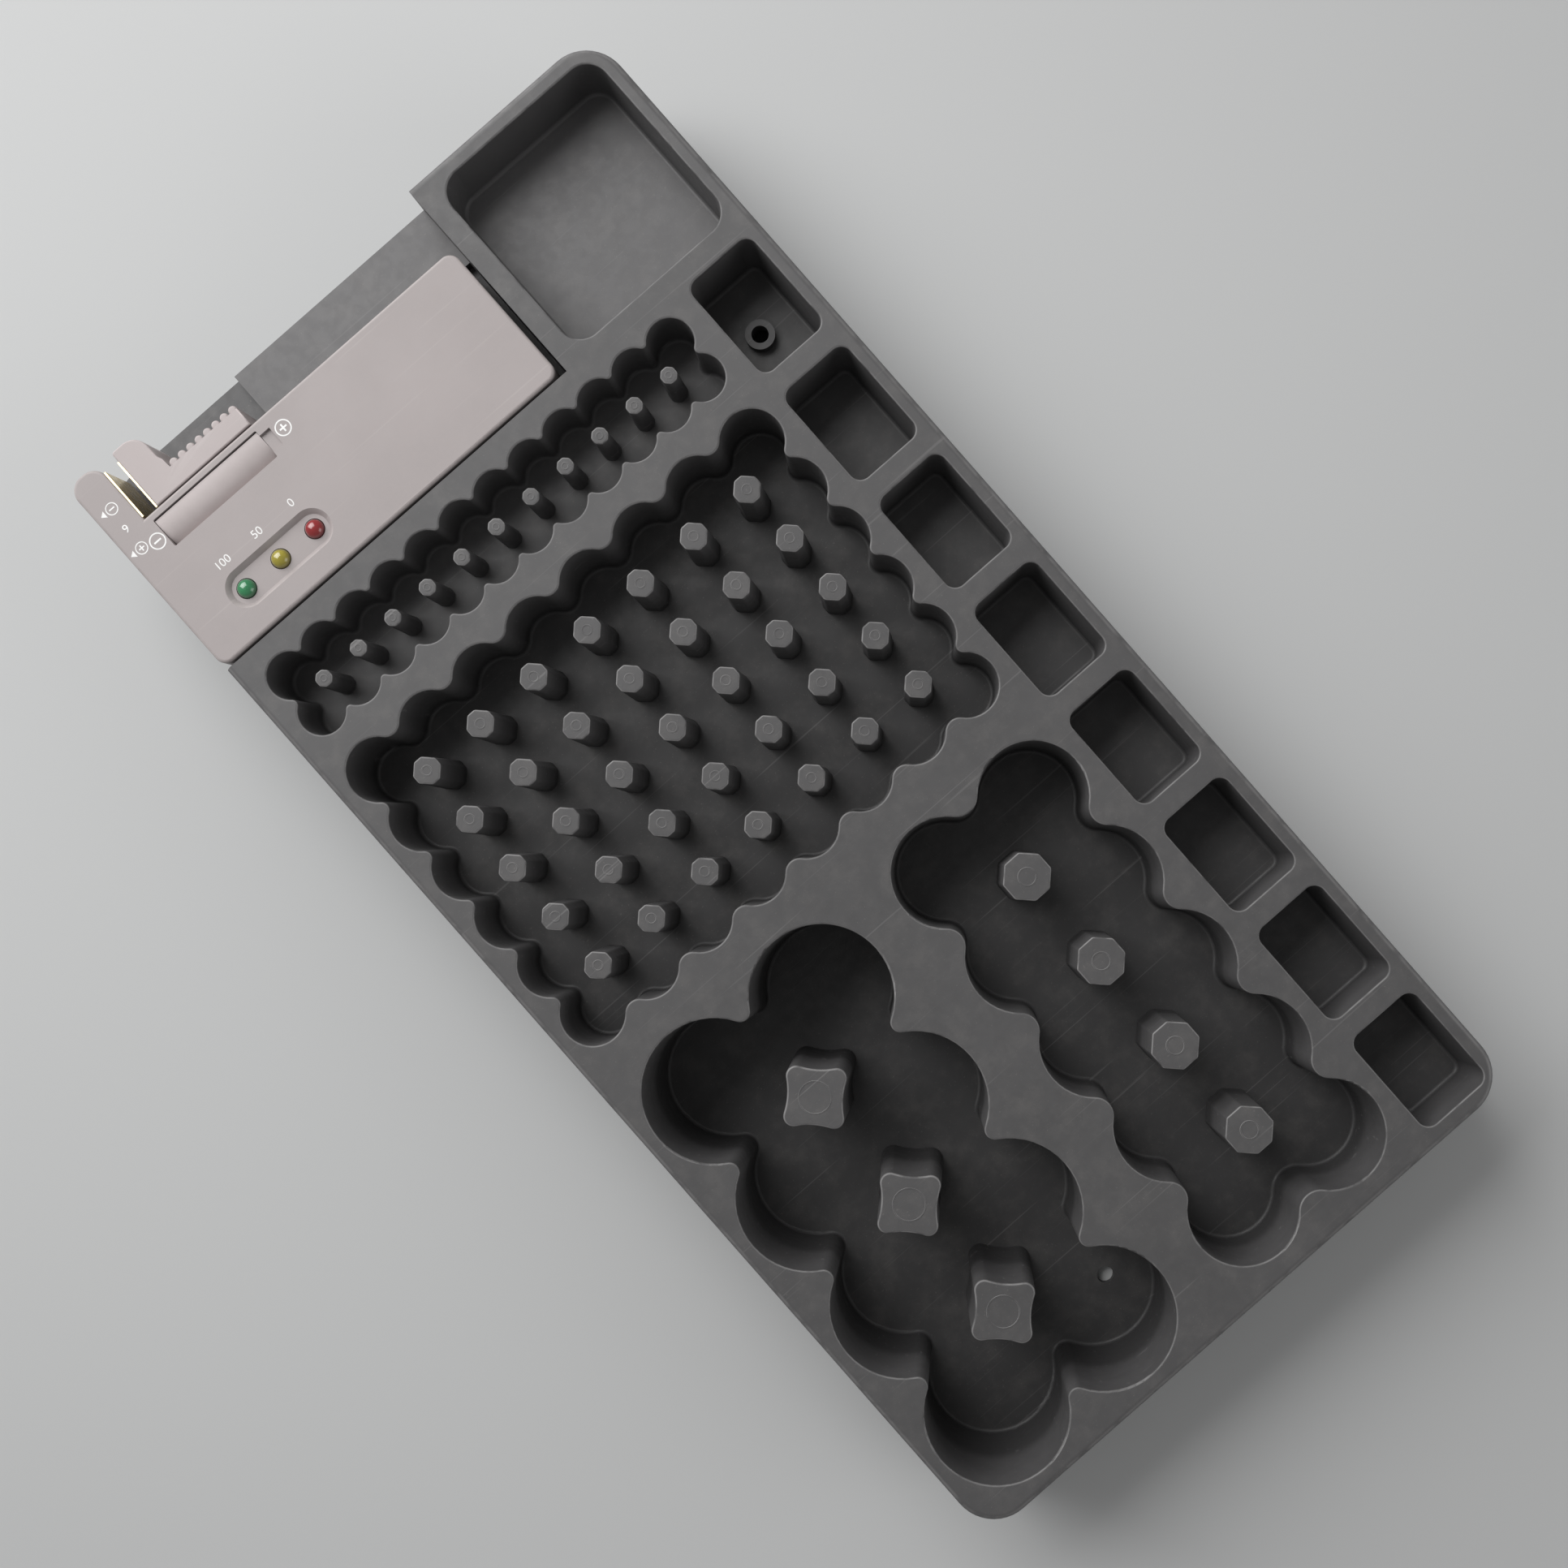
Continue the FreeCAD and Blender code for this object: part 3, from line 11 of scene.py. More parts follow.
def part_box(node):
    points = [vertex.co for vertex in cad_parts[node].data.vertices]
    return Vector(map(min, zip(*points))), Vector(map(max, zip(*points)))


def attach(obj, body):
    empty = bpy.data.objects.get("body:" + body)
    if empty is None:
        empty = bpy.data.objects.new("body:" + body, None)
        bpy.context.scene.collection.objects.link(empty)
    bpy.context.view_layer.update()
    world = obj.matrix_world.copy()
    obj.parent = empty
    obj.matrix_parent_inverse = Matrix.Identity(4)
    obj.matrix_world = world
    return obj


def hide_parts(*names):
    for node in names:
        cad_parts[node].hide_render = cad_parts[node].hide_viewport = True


bl_info = {
    "name": "Battery organiser",
    "version": (1, 0, 0),
    "blender": (4, 5, 0),
    "location": "View3D > Sidebar > Organiser",
    "description": "Dresses a battery organiser tray and its tester",
    "category": "Object",
}

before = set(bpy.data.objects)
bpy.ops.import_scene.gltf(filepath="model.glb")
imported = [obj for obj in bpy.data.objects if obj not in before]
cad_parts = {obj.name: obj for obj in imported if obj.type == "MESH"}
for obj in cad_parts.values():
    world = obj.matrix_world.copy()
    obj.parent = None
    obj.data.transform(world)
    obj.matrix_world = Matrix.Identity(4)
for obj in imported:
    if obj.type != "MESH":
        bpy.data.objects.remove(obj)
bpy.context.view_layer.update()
MM = 0.001

TRAY_LOW, TRAY_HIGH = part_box("tray")
CASE_LOW, CASE_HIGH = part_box("tester_top_case")
DECK = TRAY_HIGH.z
CASE_TOP = CASE_HIGH.z
ROD_LOW, ROD_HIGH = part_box("guide_rod")

WELD = 0.001 * MM
SAME_HEIGHT = 0.01 * MM
LEVEL_NORMAL = 0.999
FLAT_ANGLE = math.radians(1)
SHARP_ANGLE = math.radians(38)
NO_RIM_LEVEL = 1.0
ROUND_STEPS = 3
RIB_STEPS = 20
SIGN_STEPS = 48

# Across and up from the line of a peg's ring, in half widths of the ring
RING_ARCH = ((-1.0, -0.15), (-0.5, 0.4), (0.5, 0.4), (1.0, -0.15))

# In radii of a printed sign
SIGN_LINE = 0.16
SIGN_STROKE = 0.208
ARROW_TIP = 2.1
ARROW_LENGTH = 0.8
ARROW_HALF_WIDTH = 0.6


def colour_property(name, default, description):
    return FloatVectorProperty(
        name=name, description=description, subtype="COLOR", default=default, min=0, max=1)


def length_property(name, default, description):
    return FloatProperty(
        name=name, description=description, subtype="DISTANCE", unit="LENGTH", default=default)


def place_property(name, default, description):
    return FloatVectorProperty(
        name=name, description=description, subtype="XYZ", unit="LENGTH",
        size=len(default), default=default)


def number_property(name, default, description):
    return FloatProperty(name=name, description=description, default=default)


def angle_property(name, degrees, description):
    return FloatProperty(
        name=name, description=description, subtype="ANGLE", default=math.radians(degrees))


def power_property(name, default, description):
    return FloatProperty(name=name, description=description, unit="POWER", default=default)


def count_property(name, default, description):
    return IntProperty(name=name, description=description, default=default)


class TrayLook(bpy.types.PropertyGroup):
    """Finish of the tray and its pegs"""
    plastic: colour_property("Plastic", (0.082, 0.080, 0.081), "Moulded tray plastic")
    # This pale colour marks scuffs and the rounded rims; on the rims it is wear and also a painted
    # highlight.
    wear_and_highlight: colour_property("Rim wear and highlight", (0.20, 0.195, 0.195), "Rims rubbed pale by use")
    dust: colour_property("Dust", (0.30, 0.28, 0.26), "Dust on floors and pegs")
    # Painted shade: the tray and pegs are painted darker in the deep wells, starting at the first depth and
    # full at the second.
    well_painted_shade: number_property("Painted well shade", 0.58, "Shade of the deep wells against the deck")
    well_shade_start: length_property("Painted well shade from", 16.0 * MM, "Depth where the rubbing ends")
    well_shade_end: length_property("Painted well shade past", 23.0 * MM, "Depth that is never rubbed")
    # Painted light: up-facing floors between these two depths, the bin floor and the ledge, are painted
    # paler than the deck.
    floor_painted_light: number_property("Painted light", 1.45, "Shade of the bin and the ledge against the deck")
    floor_light_start: length_property("Painted light from", 12.5 * MM, "Depth just above the ledge")
    floor_light_end: length_property("Painted light to", 16.5 * MM, "Depth just under the bin's floor")
    # Height of the band of rims painted pale, as wear and as a painted highlight.
    rim_depth: length_property("Rim depth", 1.2 * MM, "Height of the rubbed band under the deck")
    grain: number_property("Grain", 2600, "Moulded grain marks per metre")
    # Painted highlight: the peg rims are painted paler than the other rims.
    peg_wear_and_highlight: number_property("Peg rims", 1.35, "Shade of the peg rims against the other rims")
    peg_bevel: length_property("Peg edge", 0.6 * MM, "Rounding of the D peg tops")
    peg_corner: length_property("Peg corner", 0.45 * MM, "Rounding of an eight-sided peg's edges")
    peg_draft: angle_property("Peg draft", 1.0, "Slope of the sides of the eight-sided pegs")
    aa_peg: place_property("AA peg", (3.3 * MM, 3.6 * MM), "Half widths to the wells and to the tips")
    aaa_peg: place_property("AAA peg", (2.1 * MM, 2.1 * MM), "Half widths to the wells and to the tips")
    c_peg: place_property("C peg", (5.75 * MM, 5.85 * MM), "Half widths to the wells and to the tips")
    aa_ring: length_property("AA ring", 1.2 * MM, "Radius of the ring on an AA peg")
    aaa_ring: length_property("AAA ring", 0.8 * MM, "Radius of the ring on an AAA peg")
    c_ring: length_property("C ring", 2.2 * MM, "Radius of the ring on a C peg")
    d_ring: length_property("D ring", 4.0 * MM, "Radius of the ring on a D peg")
    ring_width: length_property("Ring width", 0.22 * MM, "Half width of the ring on each peg top")
    ring_steps: count_property("Ring steps", 24, "Steps round each ring")


class TesterLook(bpy.types.PropertyGroup):
    """Finish of the tester and its slider"""
    case: colour_property("Case", (0.345, 0.308, 0.304), "Moulded case plastic")
    # The case's scuffs and rounded rims; on the rims it is wear and also a painted highlight.
    case_wear_and_highlight: colour_property("Case rim", (0.44, 0.40, 0.39), "Case edges rubbed pale")
    slider: colour_property("Slider", (0.42, 0.37, 0.365), "Moulded slider plastic")
    # The slider's scuffs and rounded rims; on the rims it is wear and also a painted highlight.
    slider_wear_and_highlight: number_property("Slider rim", 1.25, "Shade of the slider's rims against its plastic")
    # Height of the band of case rims painted pale, as wear and as a painted highlight.
    rim_depth: length_property("Rim depth", 0.9 * MM, "Height of the rubbed band under the case top")
    hump_start: length_property("Hump start", 10.8 * MM, "Hump from the case's left end")
    hump_length: length_property("Hump length", 32.7 * MM, "Hump along the window")
    hump_front: length_property("Hump front", 3.9 * MM, "Hump in front of the guide rod")
    hump_back: length_property("Hump back", 3.7 * MM, "Hump behind the guide rod")
    hump_rise: length_property("Hump rise", 4.2 * MM, "Height of the hump's round")
    hump_drop: length_property("Hump drop", 0.4 * MM, "Hump under the case top")
    hump_wall: length_property("Hump wall", 0.5 * MM, "Thickness of the hump's shell")
    plate: length_property("Top plate", 1.6 * MM, "Thickness of the case's top plate")
    hump_steps: count_property("Hump steps", 16, "Steps across the hump")
    # Painted light: the hump is painted paler than the case plastic.
    hump_painted_light: number_property("Hump shade", 1.5, "Shade of the hump against the case")
    bar_right: length_property("Bar reach", 30.1 * MM, "Thumb bar past the tongue's contact")
    bar_width: length_property("Bar width", 6.6 * MM, "Thumb bar along Y")
    rib_count: count_property("Ribs", 8, "Ribs on the thumb bar")
    rib_pitch: length_property("Rib pitch", 2.7 * MM, "Rib to rib")
    rib_radius: length_property("Rib radius", 1.15 * MM, "Roundness of a rib")
    rib_depth: length_property("Rib depth", 1.55 * MM, "Ribs past the bar's flat")
    rib_round: length_property("Rib rounding", 0.5 * MM, "Rounding of a rib's top")
    rib_drop: length_property("Rib drop", 0.25 * MM, "Rib tops under the bar's top")
    grain: number_property("Grain", 3200, "Moulded grain marks per metre")


class MarkLook(bpy.types.PropertyGroup):
    """Printed marks; their places are from the case's left end, and from its far side or the rod"""
    ink: colour_property("Print", (0.86, 0.86, 0.85), "Printed marks")
    lift: length_property("Print thickness", 0.03 * MM, "Thickness of the printed marks")
    sunk: number_property("Sunk", 0.3, "Share of the thickness that is in the case")
    number_height: length_property("Number height", 3.0 * MM, "Size of the printed numbers")
    number_row: length_property("Number row", 11.0 * MM, "Numbers from the lamps' near side")
    sign_radius: length_property("Sign radius", 2.1 * MM, "Polarity signs at the window")
    end_sign_radius: length_property("End sign radius", 1.6 * MM, "Polarity signs at the end face")
    minus: place_property("Minus", (8.3 * MM, 0.85 * MM), "Minus sign, from the rod's near side")
    plus: place_property("Plus", (49.2 * MM, 1.45 * MM), "Plus sign, from the rod's near side")
    minus_end: place_property("End minus", (5.1 * MM, -11.0 * MM), "End minus, from the far side")
    plus_end: place_property("End plus", (4.3 * MM, -22.9 * MM), "End plus, from the far side")
    end_number: place_property("End number", (4.5 * MM, -17.0 * MM), "End number, from the far side")


class LampLook(bpy.types.PropertyGroup):
    """Tints of the three lamps"""
    green: colour_property("Green", (0.03, 0.17, 0.07), "Tint of the green lens")
    yellow: colour_property("Yellow", (0.26, 0.22, 0.03), "Tint of the yellow lens")
    red: colour_property("Red", (0.22, 0.018, 0.02), "Tint of the red lens")


class MetalLook(bpy.types.PropertyGroup):
    """Finish of contacts, screws and the board"""
    brass: colour_property("Brass", (0.74, 0.62, 0.38), "Contact sheet")
    steel: colour_property("Steel", (0.58, 0.58, 0.60), "Screws, rod and spring")
    board: colour_property("Board", (0.02, 0.12, 0.045), "Solder mask")
    chip: colour_property("Chip", (0.014, 0.014, 0.016), "Moulded epoxy")
    ferrite: number_property("Ferrite", 2.2, "Shade of the coil's core against the chip")
    can: colour_property("Can", (0.66, 0.67, 0.69), "Capacitor can")
    coat: colour_property("Coat", (0.17, 0.34, 0.44), "Resistor coat")


class StageLook(bpy.types.PropertyGroup):
    """Camera, floor and lights"""
    floor: colour_property("Floor", (0.53, 0.535, 0.535), "Plain pale floor")
    floor_size: length_property("Floor size", 8.0, "Side of the floor")
    floor_gap: length_property("Floor gap", 0.2 * MM, "Floor under the tray")
    lens: number_property("Lens", 40.8, "Focal length in millimetres")
    sensor: number_property("Sensor", 36, "Width of the sensor in millimetres")
    nearest: length_property("Nearest", 0.01, "Nearest thing that the camera shows")
    camera_place: place_property("Camera", (0.0153, -0.0352, 0.470), "Camera place")
    camera_turn: angle_property("Turn", -41.3, "Camera turn about the vertical")
    shift: FloatVectorProperty(name="Shift", description="Lens shift", size=2, default=(-0.0952, 0.0435))
    key_power: power_property("Key", 5.0, "Power of the key lamp")
    key_place: place_property("Key place", (-0.08, 0.72, 0.60), "Place of the key lamp")
    fill_power: power_property("Fill", 1.5, "Power of the fill lamp")
    fill_place: place_property("Fill place", (0.8, -0.95, 0.45), "Place of the fill lamp")
    aim: place_property("Aim", (0.0, 0.12, DECK), "Point that both lamps face")
    lamp_size: length_property("Lamp size", 0.9, "Side of each soft lamp")
    spread: angle_property("Spread", 110, "Beam of the soft lamps")
    sky: number_property("Sky", 0.25, "Strength of the even light")


LOOKS = {
    "organiser_tray": TrayLook,
    "organiser_tester": TesterLook,
    "organiser_marks": MarkLook,
    "organiser_lamps": LampLook,
    "organiser_metal": MetalLook,
    "organiser_stage": StageLook,
}


# Node groups

def new_group(name, inputs, outputs):
    """An empty shader group with named value sockets."""
    group = bpy.data.node_groups.new(name, "ShaderNodeTree")
    for label, default in inputs:
        socket = group.interface.new_socket(label, in_out="INPUT", socket_type="NodeSocketFloat")
        socket.default_value = default
    for label in outputs:
        group.interface.new_socket(label, in_out="OUTPUT", socket_type="NodeSocketFloat")
    source = group.nodes.new("NodeGroupInput")
    target = group.nodes.new("NodeGroupOutput")
    return group, source, target


def noise(tree, vector, scale, detail=2.0, roughness=0.5):
    """A noise texture; scale is a number or a socket."""
    node = tree.nodes.new("ShaderNodeTexNoise")
    node.inputs["Detail"].default_value = detail
    node.inputs["Roughness"].default_value = roughness
    tree.links.new(vector, node.inputs["Vector"])
    if isinstance(scale, bpy.types.NodeSocket):
        tree.links.new(scale, node.inputs["Scale"])
    else:
        node.inputs["Scale"].default_value = scale
    return node.outputs["Fac"]


def ramp(tree, value, low, high):
    """0 below low, 1 above high, smooth between; the limits are numbers or sockets."""
    node = tree.nodes.new("ShaderNodeMapRange")
    node.interpolation_type = "SMOOTHSTEP"
    tree.links.new(value, node.inputs["Value"])
    for name, limit in (("From Min", low), ("From Max", high)):
        if isinstance(limit, bpy.types.NodeSocket):
            tree.links.new(limit, node.inputs[name])
        else:
            node.inputs[name].default_value = limit
    return node.outputs["Result"]


def combine(tree, operation, first, second):
    """A math node on two sockets or numbers."""
    node = tree.nodes.new("ShaderNodeMath")
    node.operation = operation
    for index, value in enumerate((first, second)):
        if isinstance(value, bpy.types.NodeSocket):
            tree.links.new(value, node.inputs[index])
        else:
            node.inputs[index].default_value = value
    return node.outputs[0]


def part_of(tree, vector, axis):
    """One part of a vector, by the name of its axis."""
    node = tree.nodes.new("ShaderNodeSeparateXYZ")
    tree.links.new(vector, node.inputs[0])
    return node.outputs[axis]


def grain_group():
    """Fine moulded grain, and slow clouds in the colour."""
    group, source, target = new_group(
        "Moulded grain", (("Grain", 2600), ("Clouds", 30)), ("Height", "Clouds", "Mottle"))
    place = group.nodes.new("ShaderNodeTexCoord").outputs["Object"]
    fine = noise(group, place, source.outputs["Grain"], detail=3.0, roughness=0.6)
    clouds = noise(group, place, source.outputs["Clouds"], detail=4.0, roughness=0.55)
    mottle_scale = combine(group, "MULTIPLY", source.outputs["Grain"], 0.12)
    mottle = noise(group, place, mottle_scale, detail=3.0, roughness=0.6)
    group.links.new(fine, target.inputs["Height"])
    group.links.new(ramp(group, clouds, 0.3, 0.7), target.inputs["Clouds"])
    group.links.new(ramp(group, mottle, 0.35, 0.65), target.inputs["Mottle"])
    return group


def rim_group():
    """Rounded rims near one level, painted pale as wear and as a painted highlight, broken up in patches.
    """
    group, source, target = new_group("Rim wear and painted highlight", (("Level", 0.04), ("Depth", 0.001)), ("Mask",))
    coordinates = group.nodes.new("ShaderNodeTexCoord")
    height = part_of(group, coordinates.outputs["Object"], "Z")
    tilt = part_of(group, coordinates.outputs["Normal"], "Z")
    low = combine(group, "SUBTRACT", source.outputs["Level"], source.outputs["Depth"])
    near = ramp(group, height, low, source.outputs["Level"])
    rounded = combine(group, "SUBTRACT", ramp(group, tilt, 0.15, 0.5), ramp(group, tilt, 0.86, 0.995))
    patches = noise(group, coordinates.outputs["Object"], 260, detail=4.0)
    broken = ramp(group, patches, 0.25, 0.6)
    mask = combine(group, "MULTIPLY", combine(group, "MULTIPLY", near, rounded), broken)
    group.links.new(mask, target.inputs["Mask"])
    return group


def depth_light_and_shade_group():
    """Painted light and shade by depth below one level: painted light on up-facing floors between two
    depths, the bin floor and the ledge, and painted shade in wells past a depth.
    """
    depths = (("Painted light from", 0.0125), ("Painted light to", 0.0165), ("Deep from", 0.016), ("Deep to", 0.023))
    group, source, target = new_group("Painted light and shade by depth", (("Level", 0.04), *depths), ("Painted light", "Deep"))
    coordinates = group.nodes.new("ShaderNodeTexCoord")
    height = part_of(group, coordinates.outputs["Object"], "Z")
    tilt = part_of(group, coordinates.outputs["Normal"], "Z")
    below = combine(group, "SUBTRACT", source.outputs["Level"], height)
    past_start = combine(group, "GREATER_THAN", below, source.outputs["Painted light from"])
    before_end = combine(group, "LESS_THAN", below, source.outputs["Painted light to"])
    between = combine(group, "MULTIPLY", past_start, before_end)
    # Painted light: up-facing floors between the two depths.
    floor_painted_light = combine(group, "MULTIPLY", between, ramp(group, tilt, 0.8, 0.99))
    group.links.new(floor_painted_light, target.inputs["Painted light"])
    # Painted shade: this mask darkens the wells past a depth.
    deep = ramp(group, below, source.outputs["Deep from"], source.outputs["Deep to"])
    group.links.new(deep, target.inputs["Deep"])
    return group


def dust_group():
    """Dust that settles on faces that look up."""
    group, source, target = new_group("Settled dust", (("Scale", 180), ("Cover", 0.5)), ("Mask",))
    coordinates = group.nodes.new("ShaderNodeTexCoord")
    tilt = part_of(group, coordinates.outputs["Normal"], "Z")
    place = coordinates.outputs["Object"]
    patches = noise(group, place, source.outputs["Scale"], detail=6.0, roughness=0.65)
    specks = noise(group, place, 2100, detail=1.0)
    spread = combine(group, "MULTIPLY", ramp(group, patches, 0.42, 0.75), 0.6)
    points = combine(group, "ADD", spread, ramp(group, specks, 0.70, 0.76))
    covered = combine(group, "MULTIPLY", points, source.outputs["Cover"])
    mask = combine(group, "MULTIPLY", covered, ramp(group, tilt, 0.7, 0.95))
    group.links.new(mask, target.inputs["Mask"])
    return group


def scuff_group():
    """Thin scratches that cross each other."""
    group, source, target = new_group("Scuffs", (("Scale", 60), ("Amount", 0.5)), ("Mask",))
    place = group.nodes.new("ShaderNodeTexCoord").outputs["Object"]
    lines = []
    for turn in (0.35, -0.8):
        mapping = group.nodes.new("ShaderNodeMapping")
        mapping.inputs["Rotation"].default_value = (0.0, 0.0, turn)
        mapping.inputs["Scale"].default_value = (0.35, 22.0, 6.0)
        group.links.new(place, mapping.inputs["Vector"])
        streaks = noise(group, mapping.outputs[0], source.outputs["Scale"], detail=1.5, roughness=0.4)
        lines.append(ramp(group, streaks, 0.70, 0.78))
    both = combine(group, "MAXIMUM", lines[0], lines[1])
    group.links.new(combine(group, "MULTIPLY", both, source.outputs["Amount"]), target.inputs["Mask"])
    return group


GROUP_MAKERS = {
    "grain": grain_group,
    "rim": rim_group,
    "use": depth_light_and_shade_group,
    "dust": dust_group,
    "scuffs": scuff_group,
}
GROUPS = {}


def group_named(name):
    """A node group, built the first time that a material asks for it."""
    if name not in GROUPS:
        GROUPS[name] = GROUP_MAKERS[name]()
    return GROUPS[name]


# Materials

def new_material(name, roughness=0.5, metallic=0.0):
    """A material with one Principled shader; returns it, its tree and the shader."""
    material = bpy.data.materials.new(name)
    material.use_nodes = True
    tree = material.node_tree
    shader = tree.nodes["Principled BSDF"]
    shader.inputs["Roughness"].default_value = roughness
    shader.inputs["Metallic"].default_value = metallic
    return material, tree, shader


def place_group(tree, name, **values):
    """A node group in a material, with its own values."""
    node = tree.nodes.new("ShaderNodeGroup")
    node.node_tree = group_named(name)
    for socket, value in values.items():
        node.inputs[socket].default_value = value
    return node


def mix(tree, mask, first, second):
    """Goes from the first colour to the second; each is a colour or a socket."""
    node = tree.nodes.new("ShaderNodeMix")
    node.data_type = "RGBA"
    tree.links.new(mask, node.inputs["Factor"])
    for socket, colour in (("A", first), ("B", second)):
        target = [item for item in node.inputs if item.name == socket and item.type == "RGBA"][0]
        if isinstance(colour, bpy.types.NodeSocket):
            tree.links.new(colour, target)
        else:
            target.default_value = (*colour, 1.0)
    return [item for item in node.outputs if item.type == "RGBA"][0]


def shade(colour, factor):
    """A colour made darker or lighter."""
    return tuple(min(1.0, part * factor) for part in colour)


def rough_between(tree, shader, mask, low, high):
    """Roughness that follows a mask."""
    node = tree.nodes.new("ShaderNodeMapRange")
    node.inputs["To Min"].default_value = low
    node.inputs["To Max"].default_value = high
    tree.links.new(mask, node.inputs["Value"])
    tree.links.new(node.outputs["Result"], shader.inputs["Roughness"])


def add_bump(tree, shader, height, strength, distance):
    """Fine relief from a height."""
    bump = tree.nodes.new("ShaderNodeBump")
    bump.inputs["Strength"].default_value = strength
    bump.inputs["Distance"].default_value = distance
    tree.links.new(height, bump.inputs["Height"])
    tree.links.new(bump.outputs["Normal"], shader.inputs["Normal"])


def moulded_plastic(name, colour, wear_and_highlight, level, depth, grain, tray=None, rough=(0.48, 0.56)):
    """Grained plastic with clouds, scuffs, and rims painted pale as wear and as a painted highlight; the
    tray's also gets painted shade in its deep wells, painted light on its bin floor and ledge, and dust.
    """
    material, tree, shader = new_material(name)
    texture = place_group(tree, "grain", Grain=grain, Clouds=28)
    base = mix(tree, texture.outputs["Clouds"], shade(colour, 0.95), shade(colour, 1.05))
    speckle = combine(tree, "MULTIPLY", texture.outputs["Mottle"], 0.2)
    base = mix(tree, speckle, base, shade(colour, 1.14))
    if tray:
        # Painted shade in the deep wells and painted light on the bin floor and the ledge, both by depth.
        use = place_group(tree, "use", **{
            "Level": level,
            "Painted light from": tray.floor_light_start,
            "Painted light to": tray.floor_light_end,
            "Deep from": tray.well_shade_start,
            "Deep to": tray.well_shade_end,
        })
        # Painted shade in the deep wells.
        base = mix(tree, use.outputs["Deep"], base, shade(colour, tray.well_painted_shade))
        # Painted light on the bin floor and the ledge.
        base = mix(tree, use.outputs["Painted light"], base, shade(colour, tray.floor_painted_light))
        settled = place_group(tree, "dust", Scale=150, Cover=0.16)
        base = mix(tree, settled.outputs["Mask"], base, tray.dust)
    scuffs = place_group(tree, "scuffs", Scale=55, Amount=0.30)
    base = mix(tree, scuffs.outputs["Mask"], base, wear_and_highlight)
    # Rims painted pale, partly wear and partly a painted highlight.
    rim = place_group(tree, "rim", Level=level, Depth=depth)
    base = mix(tree, combine(tree, "MULTIPLY", rim.outputs["Mask"], 0.75), base, wear_and_highlight)
    tree.links.new(base, shader.inputs["Base Color"])
    rough_between(tree, shader, texture.outputs["Mottle"], *rough)
    shader.inputs["Specular IOR Level"].default_value = 0.5
    add_bump(tree, shader, texture.outputs["Height"], strength=0.12, distance=0.12 * MM)
    return material


def metal(name, colour, roughness):
    """Metal with dull patches and fine rubbing."""
    material, tree, shader = new_material(name, roughness, metallic=1.0)
    texture = place_group(tree, "grain", Grain=5200, Clouds=160)
    base = mix(tree, texture.outputs["Clouds"], shade(colour, 0.8), colour)
    scuffs = place_group(tree, "scuffs", Scale=260, Amount=0.6)
    base = mix(tree, scuffs.outputs["Mask"], base, shade(colour, 1.2))
    tree.links.new(base, shader.inputs["Base Color"])
    rough_between(tree, shader, texture.outputs["Mottle"], roughness * 0.8, roughness * 1.3)
    add_bump(tree, shader, texture.outputs["Height"], strength=0.05, distance=0.05 * MM)
    return material


def small_part(name, colour, roughness, coat=0.0):
    """Plain moulded or coated component plastic."""
    material, tree, shader = new_material(name, roughness)
    texture = place_group(tree, "grain", Grain=6500, Clouds=300)
    base = mix(tree, texture.outputs["Clouds"], shade(colour, 0.85), shade(colour, 1.15))
    tree.links.new(base, shader.inputs["Base Color"])
    shader.inputs["Coat Weight"].default_value = coat
    rough_between(tree, shader, texture.outputs["Mottle"], roughness * 0.85, roughness * 1.2)
    add_bump(tree, shader, texture.outputs["Height"], strength=0.06, distance=0.04 * MM)
    return material


def lens(name, colour):
    """Tinted lens: painted shade round its sides, painted light on its top, clear coat."""
    material, tree, shader = new_material(name, roughness=0.16)
    coordinates = tree.nodes.new("ShaderNodeTexCoord")
    tilt = part_of(tree, coordinates.outputs["Normal"], "Z")
    # Painted shade round the lens's sides and painted light on its top, by the tilt of the face.
    painted_dome_light = ramp(tree, tilt, 0.1, 0.8)
    texture = place_group(tree, "grain", Grain=3000, Clouds=400)
    tint = mix(tree, texture.outputs["Clouds"], shade(colour, 1.2), shade(colour, 1.45))
    base = mix(tree, painted_dome_light, shade(colour, 0.45), tint)
    tree.links.new(base, shader.inputs["Base Color"])
    shader.inputs["Coat Weight"].default_value = 1.0
    shader.inputs["Coat Roughness"].default_value = 0.12
    shader.inputs["Subsurface Weight"].default_value = 0.25
    shader.inputs["Subsurface Radius"].default_value = (MM, MM, MM)
    rough_between(tree, shader, texture.outputs["Mottle"], 0.12, 0.2)
    return material


def paint(name, colour):
    """Printed ink, thin in places."""
    material, tree, shader = new_material(name, roughness=0.55)
    texture = place_group(tree, "grain", Grain=4200, Clouds=500)
    base = mix(tree, texture.outputs["Mottle"], shade(colour, 0.9), colour)
    tree.links.new(base, shader.inputs["Base Color"])
    add_bump(tree, shader, texture.outputs["Height"], strength=0.05, distance=0.04 * MM)
    return material


def dress(node, material):
    """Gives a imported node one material."""
    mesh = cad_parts[node].data
    mesh.materials.clear()
    mesh.materials.append(material)


def finish_piece(name, mesh, body, material):
    """A new piece at the origin that rides on a body."""
    piece = bpy.data.objects.new(name, mesh)
    bpy.context.scene.collection.objects.link(piece)
    mesh.materials.clear()
    mesh.materials.append(material)
    even = piece.modifiers.new("even_normals", "WEIGHTED_NORMAL")
    even.keep_sharp = True
    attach(piece, body)
    return piece


